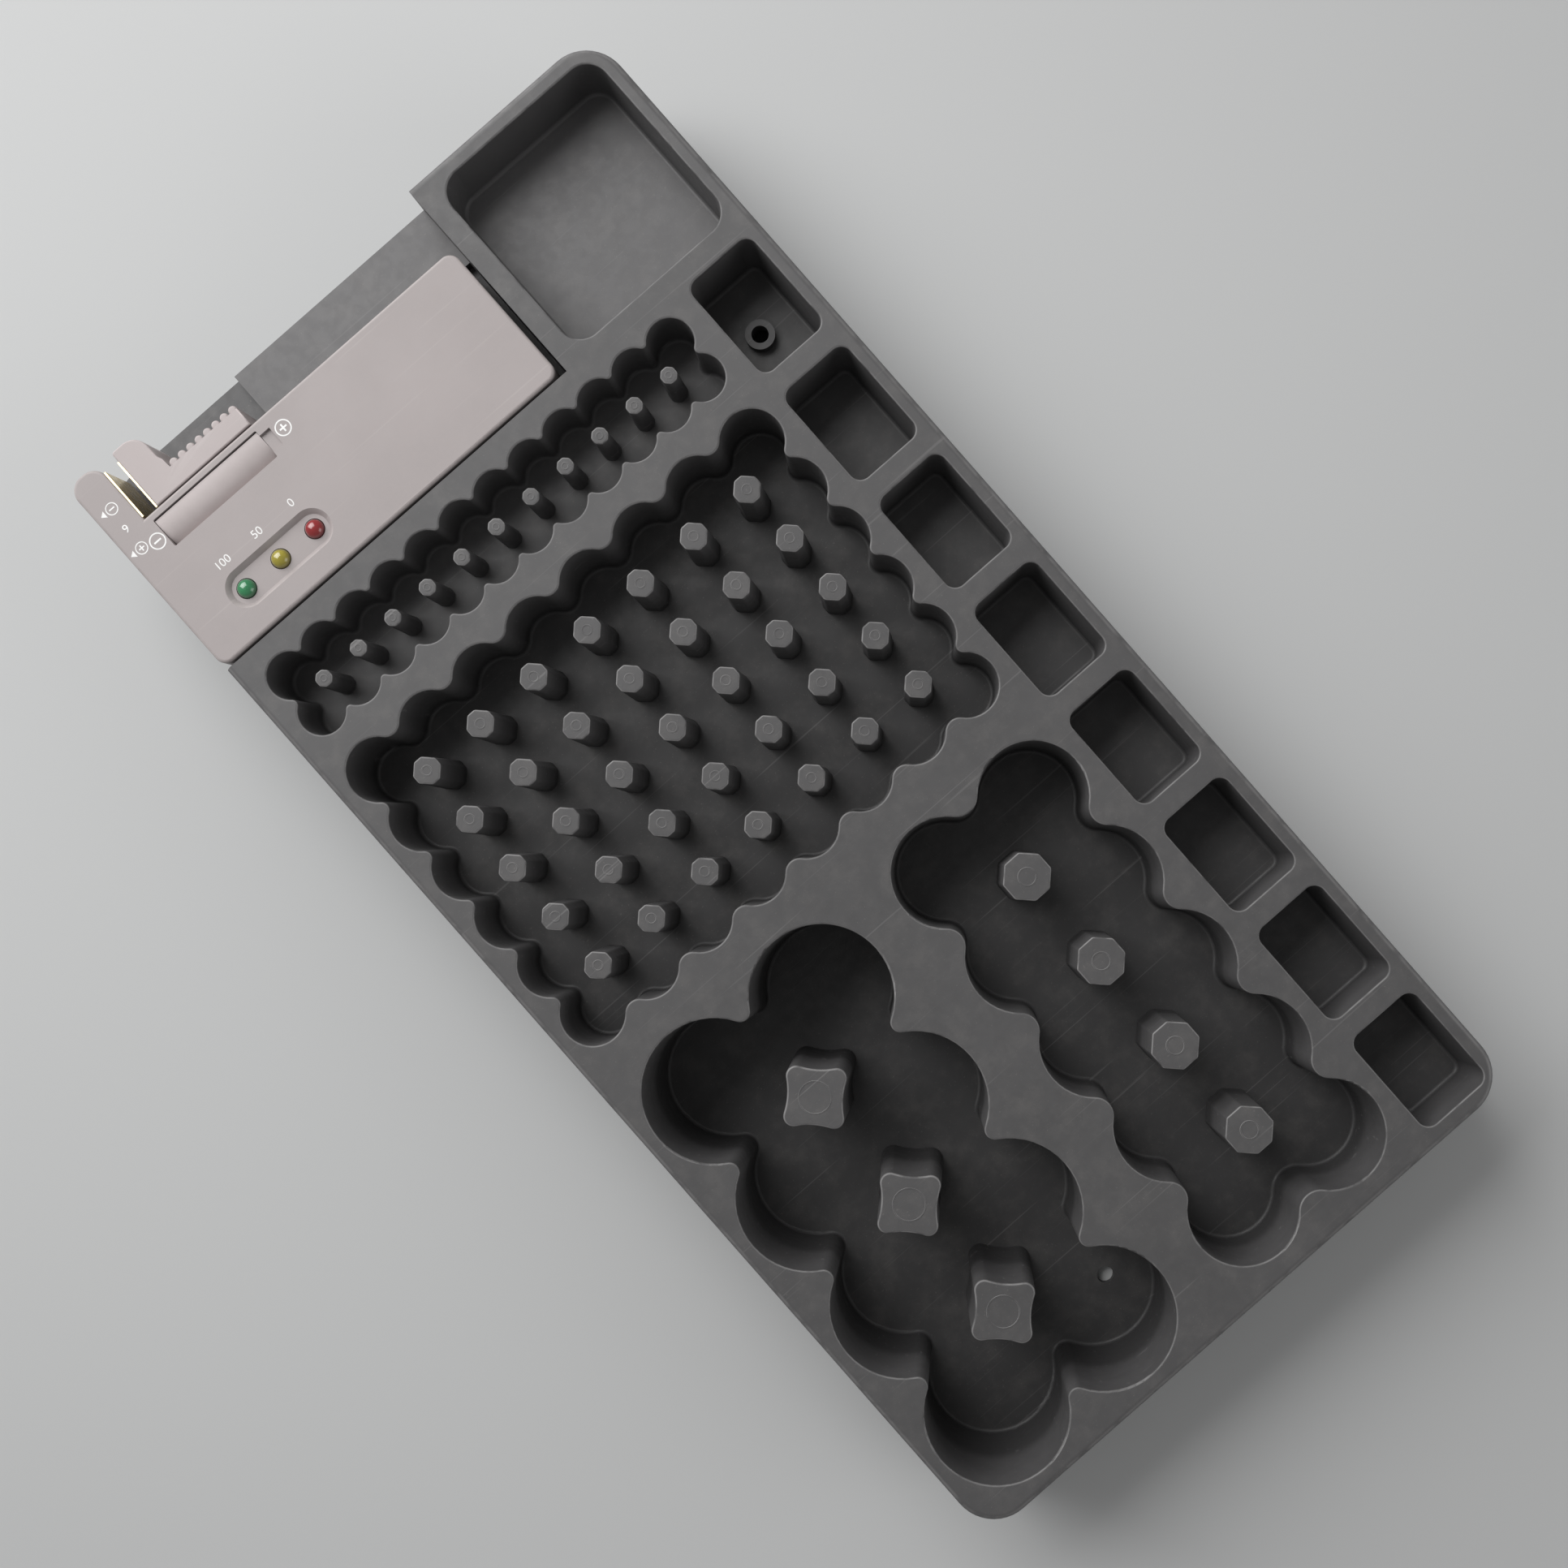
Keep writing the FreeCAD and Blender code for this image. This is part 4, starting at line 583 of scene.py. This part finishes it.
def welded_copy(node):
    """A node's mesh with its triangles welded, and its level faces made whole."""
    mesh = bmesh.new()
    mesh.from_mesh(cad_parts[node].data)
    bmesh.ops.remove_doubles(mesh, verts=mesh.verts, dist=WELD)
    mesh.normal_update()
    level = []
    for edge in mesh.edges:
        if all(abs(face.normal.z) > LEVEL_NORMAL for face in edge.link_faces):
            level.append(edge)
    bmesh.ops.dissolve_limit(mesh, angle_limit=FLAT_ANGLE, verts=[], edges=level)
    return mesh


def round_off(mesh, edges, width):
    """Rounds edges with a bevel."""
    bmesh.ops.bevel(
        mesh, geom=edges, offset=width, offset_type="OFFSET", segments=ROUND_STEPS, profile=0.5,
        affect="EDGES", material=-1, clamp_overlap=True)


def mesh_from(mesh, name):
    """Ends a bmesh as a smooth-shaded mesh."""
    bmesh.ops.recalc_face_normals(mesh, faces=mesh.faces)
    finished = bpy.data.meshes.new(name)
    mesh.to_mesh(finished)
    mesh.free()
    for face in finished.polygons:
        face.use_smooth = True
    finished.set_sharp_from_angle(angle=SHARP_ANGLE)
    return finished


# Tray

class ORGANISER_OT_tray(bpy.types.Operator):
    """Finish the moulded tray"""
    bl_idname = "organiser.tray"
    bl_label = "Tray"

    def execute(self, context):
        look = context.scene.organiser_tray
        tray_plastic = moulded_plastic(
            "tray_plastic", look.plastic, look.wear_and_highlight, DECK, look.rim_depth, look.grain, look)
        dress("tray", tray_plastic)
        return {"FINISHED"}


def islands(mesh):
    """The separate shells of a bmesh, each a list of vertices."""
    seen = set()
    shells = []
    for start in mesh.verts:
        if start in seen:
            continue
        seen.add(start)
        grown = [start]
        for vert in grown:
            for edge in vert.link_edges:
                other = edge.other_vert(vert)
                if other not in seen:
                    seen.add(other)
                    grown.append(other)
        shells.append(grown)
    return shells


def add_ring(mesh, centre, radius, width, steps):
    """A low bead round a point, spun from a short arch."""
    arch = []
    for across, up in RING_ARCH:
        arch.append(mesh.verts.new(centre + Vector((radius + across * width, 0.0, up * width))))
    edges = [mesh.edges.new(pair) for pair in zip(arch, arch[1:] + arch[:1])]
    bmesh.ops.spin(
        mesh, geom=arch + edges, cent=centre, axis=(0, 0, 1), angle=math.tau, steps=steps, use_merge=True)


def peg_centres(mesh, top):
    """The middle of each peg's top."""
    centres = []
    for shell in islands(mesh):
        upper = [vert.co for vert in shell if top - vert.co.z < SAME_HEIGHT]
        centres.append(sum(upper, Vector()) / len(upper))
    return centres


def add_eight_sided_peg(mesh, centre, flat, tip, look, foot):
    """A drafted peg with flats to the four wells round it and cut tips; returns its edges to round."""
    tall = centre.z - foot
    spread = tall * math.tan(look.peg_draft)
    ring = bmesh.ops.create_circle(mesh, cap_ends=True, segments=8, radius=1.0)["verts"]
    eighth = math.pi / 4
    for number, vert in enumerate(ring):
        first, second = (tip, flat) if number % 2 == 0 else (flat, tip)
        along = first + spread
        across = (second + spread - along * math.cos(eighth)) / math.sin(eighth)
        place = Vector((along, across, 0.0))
        place.rotate(Matrix.Rotation(number * eighth, 3, "Z"))
        vert.co = Vector((centre.x, centre.y, foot)) + place
    grown = bmesh.ops.extrude_face_region(mesh, geom=ring[0].link_faces[:])
    upper = [item for item in grown["geom"] if isinstance(item, bmesh.types.BMVert)]
    bmesh.ops.translate(mesh, verts=upper, vec=(0.0, 0.0, tall))
    middle = Matrix.Translation(-centre)
    shrink = (flat + tip) / (flat + tip + 2 * spread)
    bmesh.ops.scale(mesh, verts=upper, vec=(shrink, shrink, 1.0), space=middle)
    edges = []
    for vert in upper:
        edges += [edge for edge in vert.link_edges if edge not in edges]
    return edges


def eight_sided_pegs(node, look, flat, tip):
    """Eight-sided pegs at the places of a node's own pegs."""
    low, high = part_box(node)
    source = welded_copy(node)
    centres = peg_centres(source, high.z)
    source.free()
    mesh = bmesh.new()
    edges = []
    for centre in centres:
        edges += add_eight_sided_peg(mesh, centre, flat, tip, look, low.z)
    round_off(mesh, edges, look.peg_corner)
    return mesh, centres


def cornered_pegs(node, look):
    """A welded copy of a node's pegs with rounded tops."""
    mesh = welded_copy(node)
    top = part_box(node)[1].z
    centres = peg_centres(mesh, top)
    rims = [edge for edge in mesh.edges if all(top - vert.co.z < SAME_HEIGHT for vert in edge.verts)]
    round_off(mesh, rims, look.peg_bevel)
    return mesh, centres


class ORGANISER_OT_pegs(bpy.types.Operator):
    """Make the pegs between the wells, with eight sides or rounded tops"""
    bl_idname = "organiser.pegs"
    bl_label = "Pegs"

    def execute(self, context):
        look = context.scene.organiser_tray
        peg_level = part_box("aa_pegs")[1].z
        # Peg rims painted paler still, as a painted highlight.
        wear_and_highlight = shade(look.wear_and_highlight, look.peg_wear_and_highlight)
        plastic = moulded_plastic(
            "peg_plastic", look.plastic, wear_and_highlight, peg_level, look.rim_depth, look.grain, look)
        eight_sided = (
            ("aa_pegs", look.aa_peg, look.aa_ring),
            ("aaa_pegs", look.aaa_peg, look.aaa_ring),
            ("c_pegs", look.c_peg, look.c_ring),
        )
        for node, (flat, tip), ring_radius in eight_sided:
            mesh, centres = eight_sided_pegs(node, look, flat, tip)
            self.finish_pegs(node, mesh, centres, ring_radius, look, plastic)
        mesh, centres = cornered_pegs("d_pegs", look)
        self.finish_pegs("d_pegs", mesh, centres, look.d_ring, look, plastic)
        return {"FINISHED"}

    def finish_pegs(self, node, mesh, centres, ring_radius, look, plastic):
        """Puts a ring on each top, and the pegs in their node's place."""
        for centre in centres:
            add_ring(mesh, centre, ring_radius, look.ring_width, look.ring_steps)
        name = node + "_moulded"
        piece = finish_piece(name, mesh_from(mesh, name), "tray", plastic)
        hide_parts(node)


# Tester

class ORGANISER_OT_case(bpy.types.Operator):
    """Finish the tester's case, cover, screws, rod and spring"""
    bl_idname = "organiser.case"
    bl_label = "Tester case"

    def execute(self, context):
        look = context.scene.organiser_tester
        metals = context.scene.organiser_metal
        case_plastic = moulded_plastic(
            "case_plastic", look.case, look.case_wear_and_highlight, CASE_TOP, look.rim_depth, look.grain,
            rough=(0.5, 0.57))
        for node in ("tester_top_case", "tester_back_cover"):
            dress(node, case_plastic)
        screw_steel = metal("screw_steel", metals.steel, roughness=0.32)
        for node in ("case_screws", "board_screws", "guide_rod", "return_spring"):
            dress(node, screw_steel)
        return {"FINISHED"}


def extrude_faces(mesh, faces, vector):
    """Extrudes flat faces along a vector."""
    grown = bmesh.ops.extrude_face_region(mesh, geom=faces)
    moved = [item for item in grown["geom"] if isinstance(item, bmesh.types.BMVert)]
    bmesh.ops.translate(mesh, verts=moved, vec=vector)


class ORGANISER_OT_window(bpy.types.Operator):
    """Make the quarter-round hump in the tester's window"""
    bl_idname = "organiser.window"
    bl_label = "Window hump"

    def execute(self, context):
        look = context.scene.organiser_tester
        axis = (ROD_LOW + ROD_HIGH) / 2
        back = axis.y + look.hump_back
        width = look.hump_front + look.hump_back
        foot = CASE_TOP - look.hump_drop - look.hump_rise
        wall = look.hump_wall
        lip_back = back - width - wall / 2
        lip_front = back - width - 2 * wall
        lip_top = CASE_TOP - look.plate
        profile = self.round_line(back, foot, width, look.hump_rise, look.hump_steps)
        profile += [(lip_back, foot), (lip_back, lip_top), (lip_front, lip_top), (lip_front, foot - wall)]
        inner = self.round_line(back, foot - wall, width, look.hump_rise, look.hump_steps)
        profile += list(reversed(inner))
        mesh = bmesh.new()
        left = CASE_LOW.x + look.hump_start
        face = mesh.faces.new([mesh.verts.new((left, y, z)) for y, z in profile])
        extrude_faces(mesh, [face], (look.hump_length, 0.0, 0.0))
        # Painted light: the hump gets a paler copy of the case plastic.
        colour = shade(look.case, look.hump_painted_light)
        plastic = moulded_plastic(
            "hump_plastic", colour, look.case_wear_and_highlight, NO_RIM_LEVEL, look.rim_depth, look.grain)
        finish_piece("window_hump", mesh_from(mesh, "window_hump"), "tester", plastic)
        return {"FINISHED"}

    def round_line(self, back, foot, width, rise, steps):
        """Points on a quarter-round, from the top at the back to the foot in front."""
        line = []
        for step in range(steps + 1):
            angle = math.pi / 2 * (1 - step / steps)
            line.append((back - width * math.cos(angle), foot + rise * math.sin(angle)))
        return line


class ORGANISER_OT_slider(bpy.types.Operator):
    """Cut the slider's teeth flat and put round ribs on its thumb bar"""
    bl_idname = "organiser.slider"
    bl_label = "Slider"

    def execute(self, context):
        look = context.scene.organiser_tester
        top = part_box("slider")[1].z
        # Slider scuffs and rims, the rims as wear and as a painted highlight.
        wear_and_highlight = shade(look.slider, look.slider_wear_and_highlight)
        plastic = moulded_plastic(
            "slider_plastic", look.slider, wear_and_highlight, top, look.rim_depth, look.grain, rough=(0.45, 0.52))
        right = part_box("slider_contact")[1].x + look.bar_right
        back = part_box("slider_contact")[0].y + look.bar_width
        mesh = welded_copy("slider")
        ribbed = right - look.rib_count * look.rib_pitch
        for vert in mesh.verts:
            if ribbed < vert.co.x and vert.co.y > back - look.rib_depth:
                vert.co.y = back - look.rib_depth
        bmesh.ops.remove_doubles(mesh, verts=mesh.verts, dist=WELD)
        name = "slider_moulded"
        piece = finish_piece(name, mesh_from(mesh, name), "slider", plastic)
        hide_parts("slider")
        ribs = self.ribs(look, right, back)
        finish_piece("thumb_ribs", mesh_from(ribs, "thumb_ribs"), "slider", plastic)
        return {"FINISHED"}

    def ribs(self, look, right, back):
        """Upright round ribs along the outer edge of the thumb bar."""
        low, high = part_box("slider")
        mesh = bmesh.new()
        for number in range(look.rib_count):
            rib = bmesh.ops.create_circle(mesh, cap_ends=True, segments=RIB_STEPS, radius=look.rib_radius)
            place = (right - look.rib_radius - number * look.rib_pitch, back - look.rib_radius, low.z)
            bmesh.ops.translate(mesh, verts=rib["verts"], vec=place)
        tall = high.z - low.z - look.rib_drop
        extrude_faces(mesh, list(mesh.faces), (0.0, 0.0, tall))
        rims = [edge for edge in mesh.edges if all(vert.co.z > low.z + tall / 2 for vert in edge.verts)]
        round_off(mesh, rims, look.rib_round)
        return mesh


class ORGANISER_OT_contacts(bpy.types.Operator):
    """Finish the brass contacts"""
    bl_idname = "organiser.contacts"
    bl_label = "Contacts"

    def execute(self, context):
        brass = metal("contact_brass", context.scene.organiser_metal.brass, roughness=0.28)
        for node in ("fixed_contact", "slider_contact", "slider_wiper", "contact_rail",
                     "nine_volt_positive", "nine_volt_negative"):
            dress(node, brass)
        return {"FINISHED"}


class ORGANISER_OT_lamps(bpy.types.Operator):
    """Tint the three lamps"""
    bl_idname = "organiser.lamps"
    bl_label = "Lamps"

    def execute(self, context):
        look = context.scene.organiser_lamps
        for name in ("green", "yellow", "red"):
            dress(name + "_lamp", lens(name + "_lens", getattr(look, name)))
        return {"FINISHED"}


class ORGANISER_OT_inside(bpy.types.Operator):
    """Finish the circuit board and what is on it"""
    bl_idname = "organiser.inside"
    bl_label = "Circuit board"

    def execute(self, context):
        look = context.scene.organiser_metal
        dress("circuit_board", small_part("board_laminate", look.board, roughness=0.4))
        chip = small_part("chip_plastic", look.chip, roughness=0.55)
        for node in ("control_chip", "board_resistors"):
            dress(node, chip)
        core = shade(look.chip, look.ferrite)
        dress("boost_coil", small_part("ferrite", core, roughness=0.6))
        dress("smoothing_capacitor", metal("capacitor_can", look.can, roughness=0.25))
        dress("load_resistor", small_part("resistor_coat", look.coat, roughness=0.3, coat=0.4))
        return {"FINISHED"}


# Printed marks

def flat_mark(mesh, lift, place):
    """Gives a flat bmesh a thickness and puts it on the case top."""
    extrude_faces(mesh, list(mesh.faces), (0.0, 0.0, lift))
    bmesh.ops.recalc_face_normals(mesh, faces=mesh.faces)
    bmesh.ops.translate(mesh, verts=mesh.verts, vec=place)


def add_disc_ring(mesh, radius, line):
    """A flat ring with a given line width."""
    made = bmesh.ops.create_circle(mesh, cap_ends=True, segments=SIGN_STEPS, radius=radius)
    face = made["verts"][0].link_faces[0]
    bmesh.ops.inset_region(mesh, faces=[face], thickness=line, use_even_offset=True, use_boundary=True)
    bmesh.ops.delete(mesh, geom=[face], context="FACES")


def add_bar(mesh, length, width, up=0.0):
    """A flat bar along X, at a height up the sign."""
    made = bmesh.ops.create_grid(mesh, x_segments=1, y_segments=1, size=0.5)
    bmesh.ops.scale(mesh, vec=(length, width, 1.0), verts=made["verts"])
    bmesh.ops.translate(mesh, vec=(0.0, up, 0.0), verts=made["verts"])


def add_arrow_head(mesh, tip, length, half_width):
    """A triangle that points to -X."""
    corners = ((tip, 0.0), (tip + length, half_width), (tip + length, -half_width))
    verts = [mesh.verts.new((x, y, 0.0)) for x, y in corners]
    mesh.faces.new(verts)


def sign_mesh(radius, plus, arrow):
    """A ringed plus or minus, with an arrow to the end face where asked."""
    stroke = SIGN_STROKE * radius
    mesh = bmesh.new()
    add_disc_ring(mesh, radius, SIGN_LINE * radius)
    add_bar(mesh, radius, stroke)
    if plus:
        side = (radius - stroke) / 2
        for way in (-1, 1):
            add_bar(mesh, stroke, side, way * (stroke + side) / 2)
    if arrow:
        add_arrow_head(mesh, -ARROW_TIP * radius, ARROW_LENGTH * radius, ARROW_HALF_WIDTH * radius)
    return mesh


def number_mesh(text, height):
    """A printed number as a flat mesh centred on the origin."""
    curve = bpy.data.curves.new("number", type="FONT")
    curve.body = text
    curve.size = height
    curve.align_x = "CENTER"
    curve.align_y = "CENTER"
    holder = bpy.data.objects.new("number", curve)
    bpy.context.scene.collection.objects.link(holder)
    bpy.context.view_layer.update()
    drawn = bpy.data.meshes.new_from_object(holder)
    bpy.data.objects.remove(holder)
    bpy.data.curves.remove(curve)
    mesh = bmesh.new()
    mesh.from_mesh(drawn)
    bpy.data.meshes.remove(drawn)
    bmesh.ops.remove_doubles(mesh, verts=mesh.verts, dist=WELD)
    return mesh


class ORGANISER_OT_marks(bpy.types.Operator):
    """Print polarity signs and plain numbers on the tester"""
    bl_idname = "organiser.marks"
    bl_label = "Printed marks"

    def execute(self, context):
        look = context.scene.organiser_marks
        ink = paint("print_ink", look.ink)
        by_rod = Vector((CASE_LOW.x, ROD_LOW.y))
        by_back = Vector((CASE_LOW.x, CASE_HIGH.y))
        signs = (
            ("minus_sign", sign_mesh(look.sign_radius, False, False), by_rod + look.minus),
            ("plus_sign", sign_mesh(look.sign_radius, True, False), by_rod + look.plus),
            ("minus_end_sign", sign_mesh(look.end_sign_radius, False, True), by_back + look.minus_end),
            ("plus_end_sign", sign_mesh(look.end_sign_radius, True, True), by_back + look.plus_end),
        )
        for name, mesh, place in signs:
            self.print_mark(name, mesh, place, look, ink)
        row_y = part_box("green_lamp")[0].y + look.number_row
        for lamp, text in (("green_lamp", "100"), ("yellow_lamp", "50"), ("red_lamp", "0")):
            low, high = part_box(lamp)
            place = ((low.x + high.x) / 2, row_y)
            self.print_mark(lamp + "_number", number_mesh(text, look.number_height), place, look, ink)
        number = number_mesh("9", look.number_height)
        self.print_mark("end_number", number, by_back + look.end_number, look, ink)
        return {"FINISHED"}

    def print_mark(self, name, mesh, place, look, ink):
        """One mark on the case top, a little sunk so that its edge is closed."""
        flat_mark(mesh, look.lift, (*place, CASE_TOP - look.sunk * look.lift))
        finished = bpy.data.meshes.new(name)
        mesh.to_mesh(finished)
        mesh.free()
        finish_piece(name, finished, "tester", ink)


# Stage

class ORGANISER_OT_stage(bpy.types.Operator):
    """Set the floor, the lights and the camera"""
    bl_idname = "organiser.stage"
    bl_label = "Stage"

    def execute(self, context):
        look = context.scene.organiser_stage
        scene = context.scene
        mesh = bmesh.new()
        bmesh.ops.create_grid(mesh, x_segments=1, y_segments=1, size=look.floor_size / 2)
        flat = bpy.data.meshes.new("floor")
        mesh.to_mesh(flat)
        mesh.free()
        floor = bpy.data.objects.new("floor", flat)
        scene.collection.objects.link(floor)
        floor.location.z = TRAY_LOW.z - look.floor_gap
        material, _, shader = new_material("floor_paint", roughness=1.0)
        shader.inputs["Specular IOR Level"].default_value = 0.0
        shader.inputs["Base Color"].default_value = (*look.floor, 1.0)
        flat.materials.append(material)

        self.add_lamp(scene, look, "key_light", look.key_power, look.key_place)
        self.add_lamp(scene, look, "fill_light", look.fill_power, look.fill_place)
        world = bpy.data.worlds.new("studio")
        scene.world = world
        world.use_nodes = True
        sky = world.node_tree.nodes["Background"]
        sky.inputs["Color"].default_value = (1.0, 1.0, 1.0, 1.0)
        sky.inputs["Strength"].default_value = look.sky

        camera_data = bpy.data.cameras.new("camera")
        camera_data.lens = look.lens
        camera_data.sensor_width = look.sensor
        camera_data.shift_x, camera_data.shift_y = look.shift
        camera_data.clip_start = look.nearest
        camera = bpy.data.objects.new("camera", camera_data)
        scene.collection.objects.link(camera)
        camera.location = look.camera_place
        camera.rotation_euler = (0.0, 0.0, look.camera_turn)
        scene.camera = camera
        scene.view_settings.view_transform = "Standard"
        return {"FINISHED"}

    def add_lamp(self, scene, look, name, power, place):
        """A soft lamp that the camera doesn't see."""
        light = bpy.data.lights.new(name, "AREA")
        light.energy = power
        light.size = look.lamp_size
        light.spread = look.spread
        lamp = bpy.data.objects.new(name, light)
        lamp.visible_camera = False
        scene.collection.objects.link(lamp)
        way = Vector(look.aim) - Vector(place)
        turn = way.to_track_quat("-Z", "Y").to_matrix().to_4x4()
        lamp.matrix_world = Matrix.Translation(place) @ turn


PIECES = (
    ORGANISER_OT_tray,
    ORGANISER_OT_pegs,
    ORGANISER_OT_case,
    ORGANISER_OT_window,
    ORGANISER_OT_slider,
    ORGANISER_OT_contacts,
    ORGANISER_OT_lamps,
    ORGANISER_OT_inside,
    ORGANISER_OT_marks,
    ORGANISER_OT_stage,
)


class ORGANISER_PT_panel(bpy.types.Panel):
    """Lists the pieces of the organiser"""
    bl_idname = "ORGANISER_PT_panel"
    bl_label = "Battery organiser"
    bl_space_type = "VIEW_3D"
    bl_region_type = "UI"
    bl_category = "Organiser"

    def draw(self, context):
        for piece in PIECES:
            self.layout.operator(piece.bl_idname)


def register():
    for name, look in LOOKS.items():
        bpy.utils.register_class(look)
        setattr(bpy.types.Scene, name, PointerProperty(type=look))
    for piece in PIECES:
        bpy.utils.register_class(piece)
    bpy.utils.register_class(ORGANISER_PT_panel)


def unregister():
    bpy.utils.unregister_class(ORGANISER_PT_panel)
    for piece in reversed(PIECES):
        bpy.utils.unregister_class(piece)
    for name, look in LOOKS.items():
        delattr(bpy.types.Scene, name)
        bpy.utils.unregister_class(look)


def main():
    register()
    for piece in PIECES:
        group, name = piece.bl_idname.split(".")
        getattr(getattr(bpy.ops, group), name)()


if __name__ == "__main__":
    main()
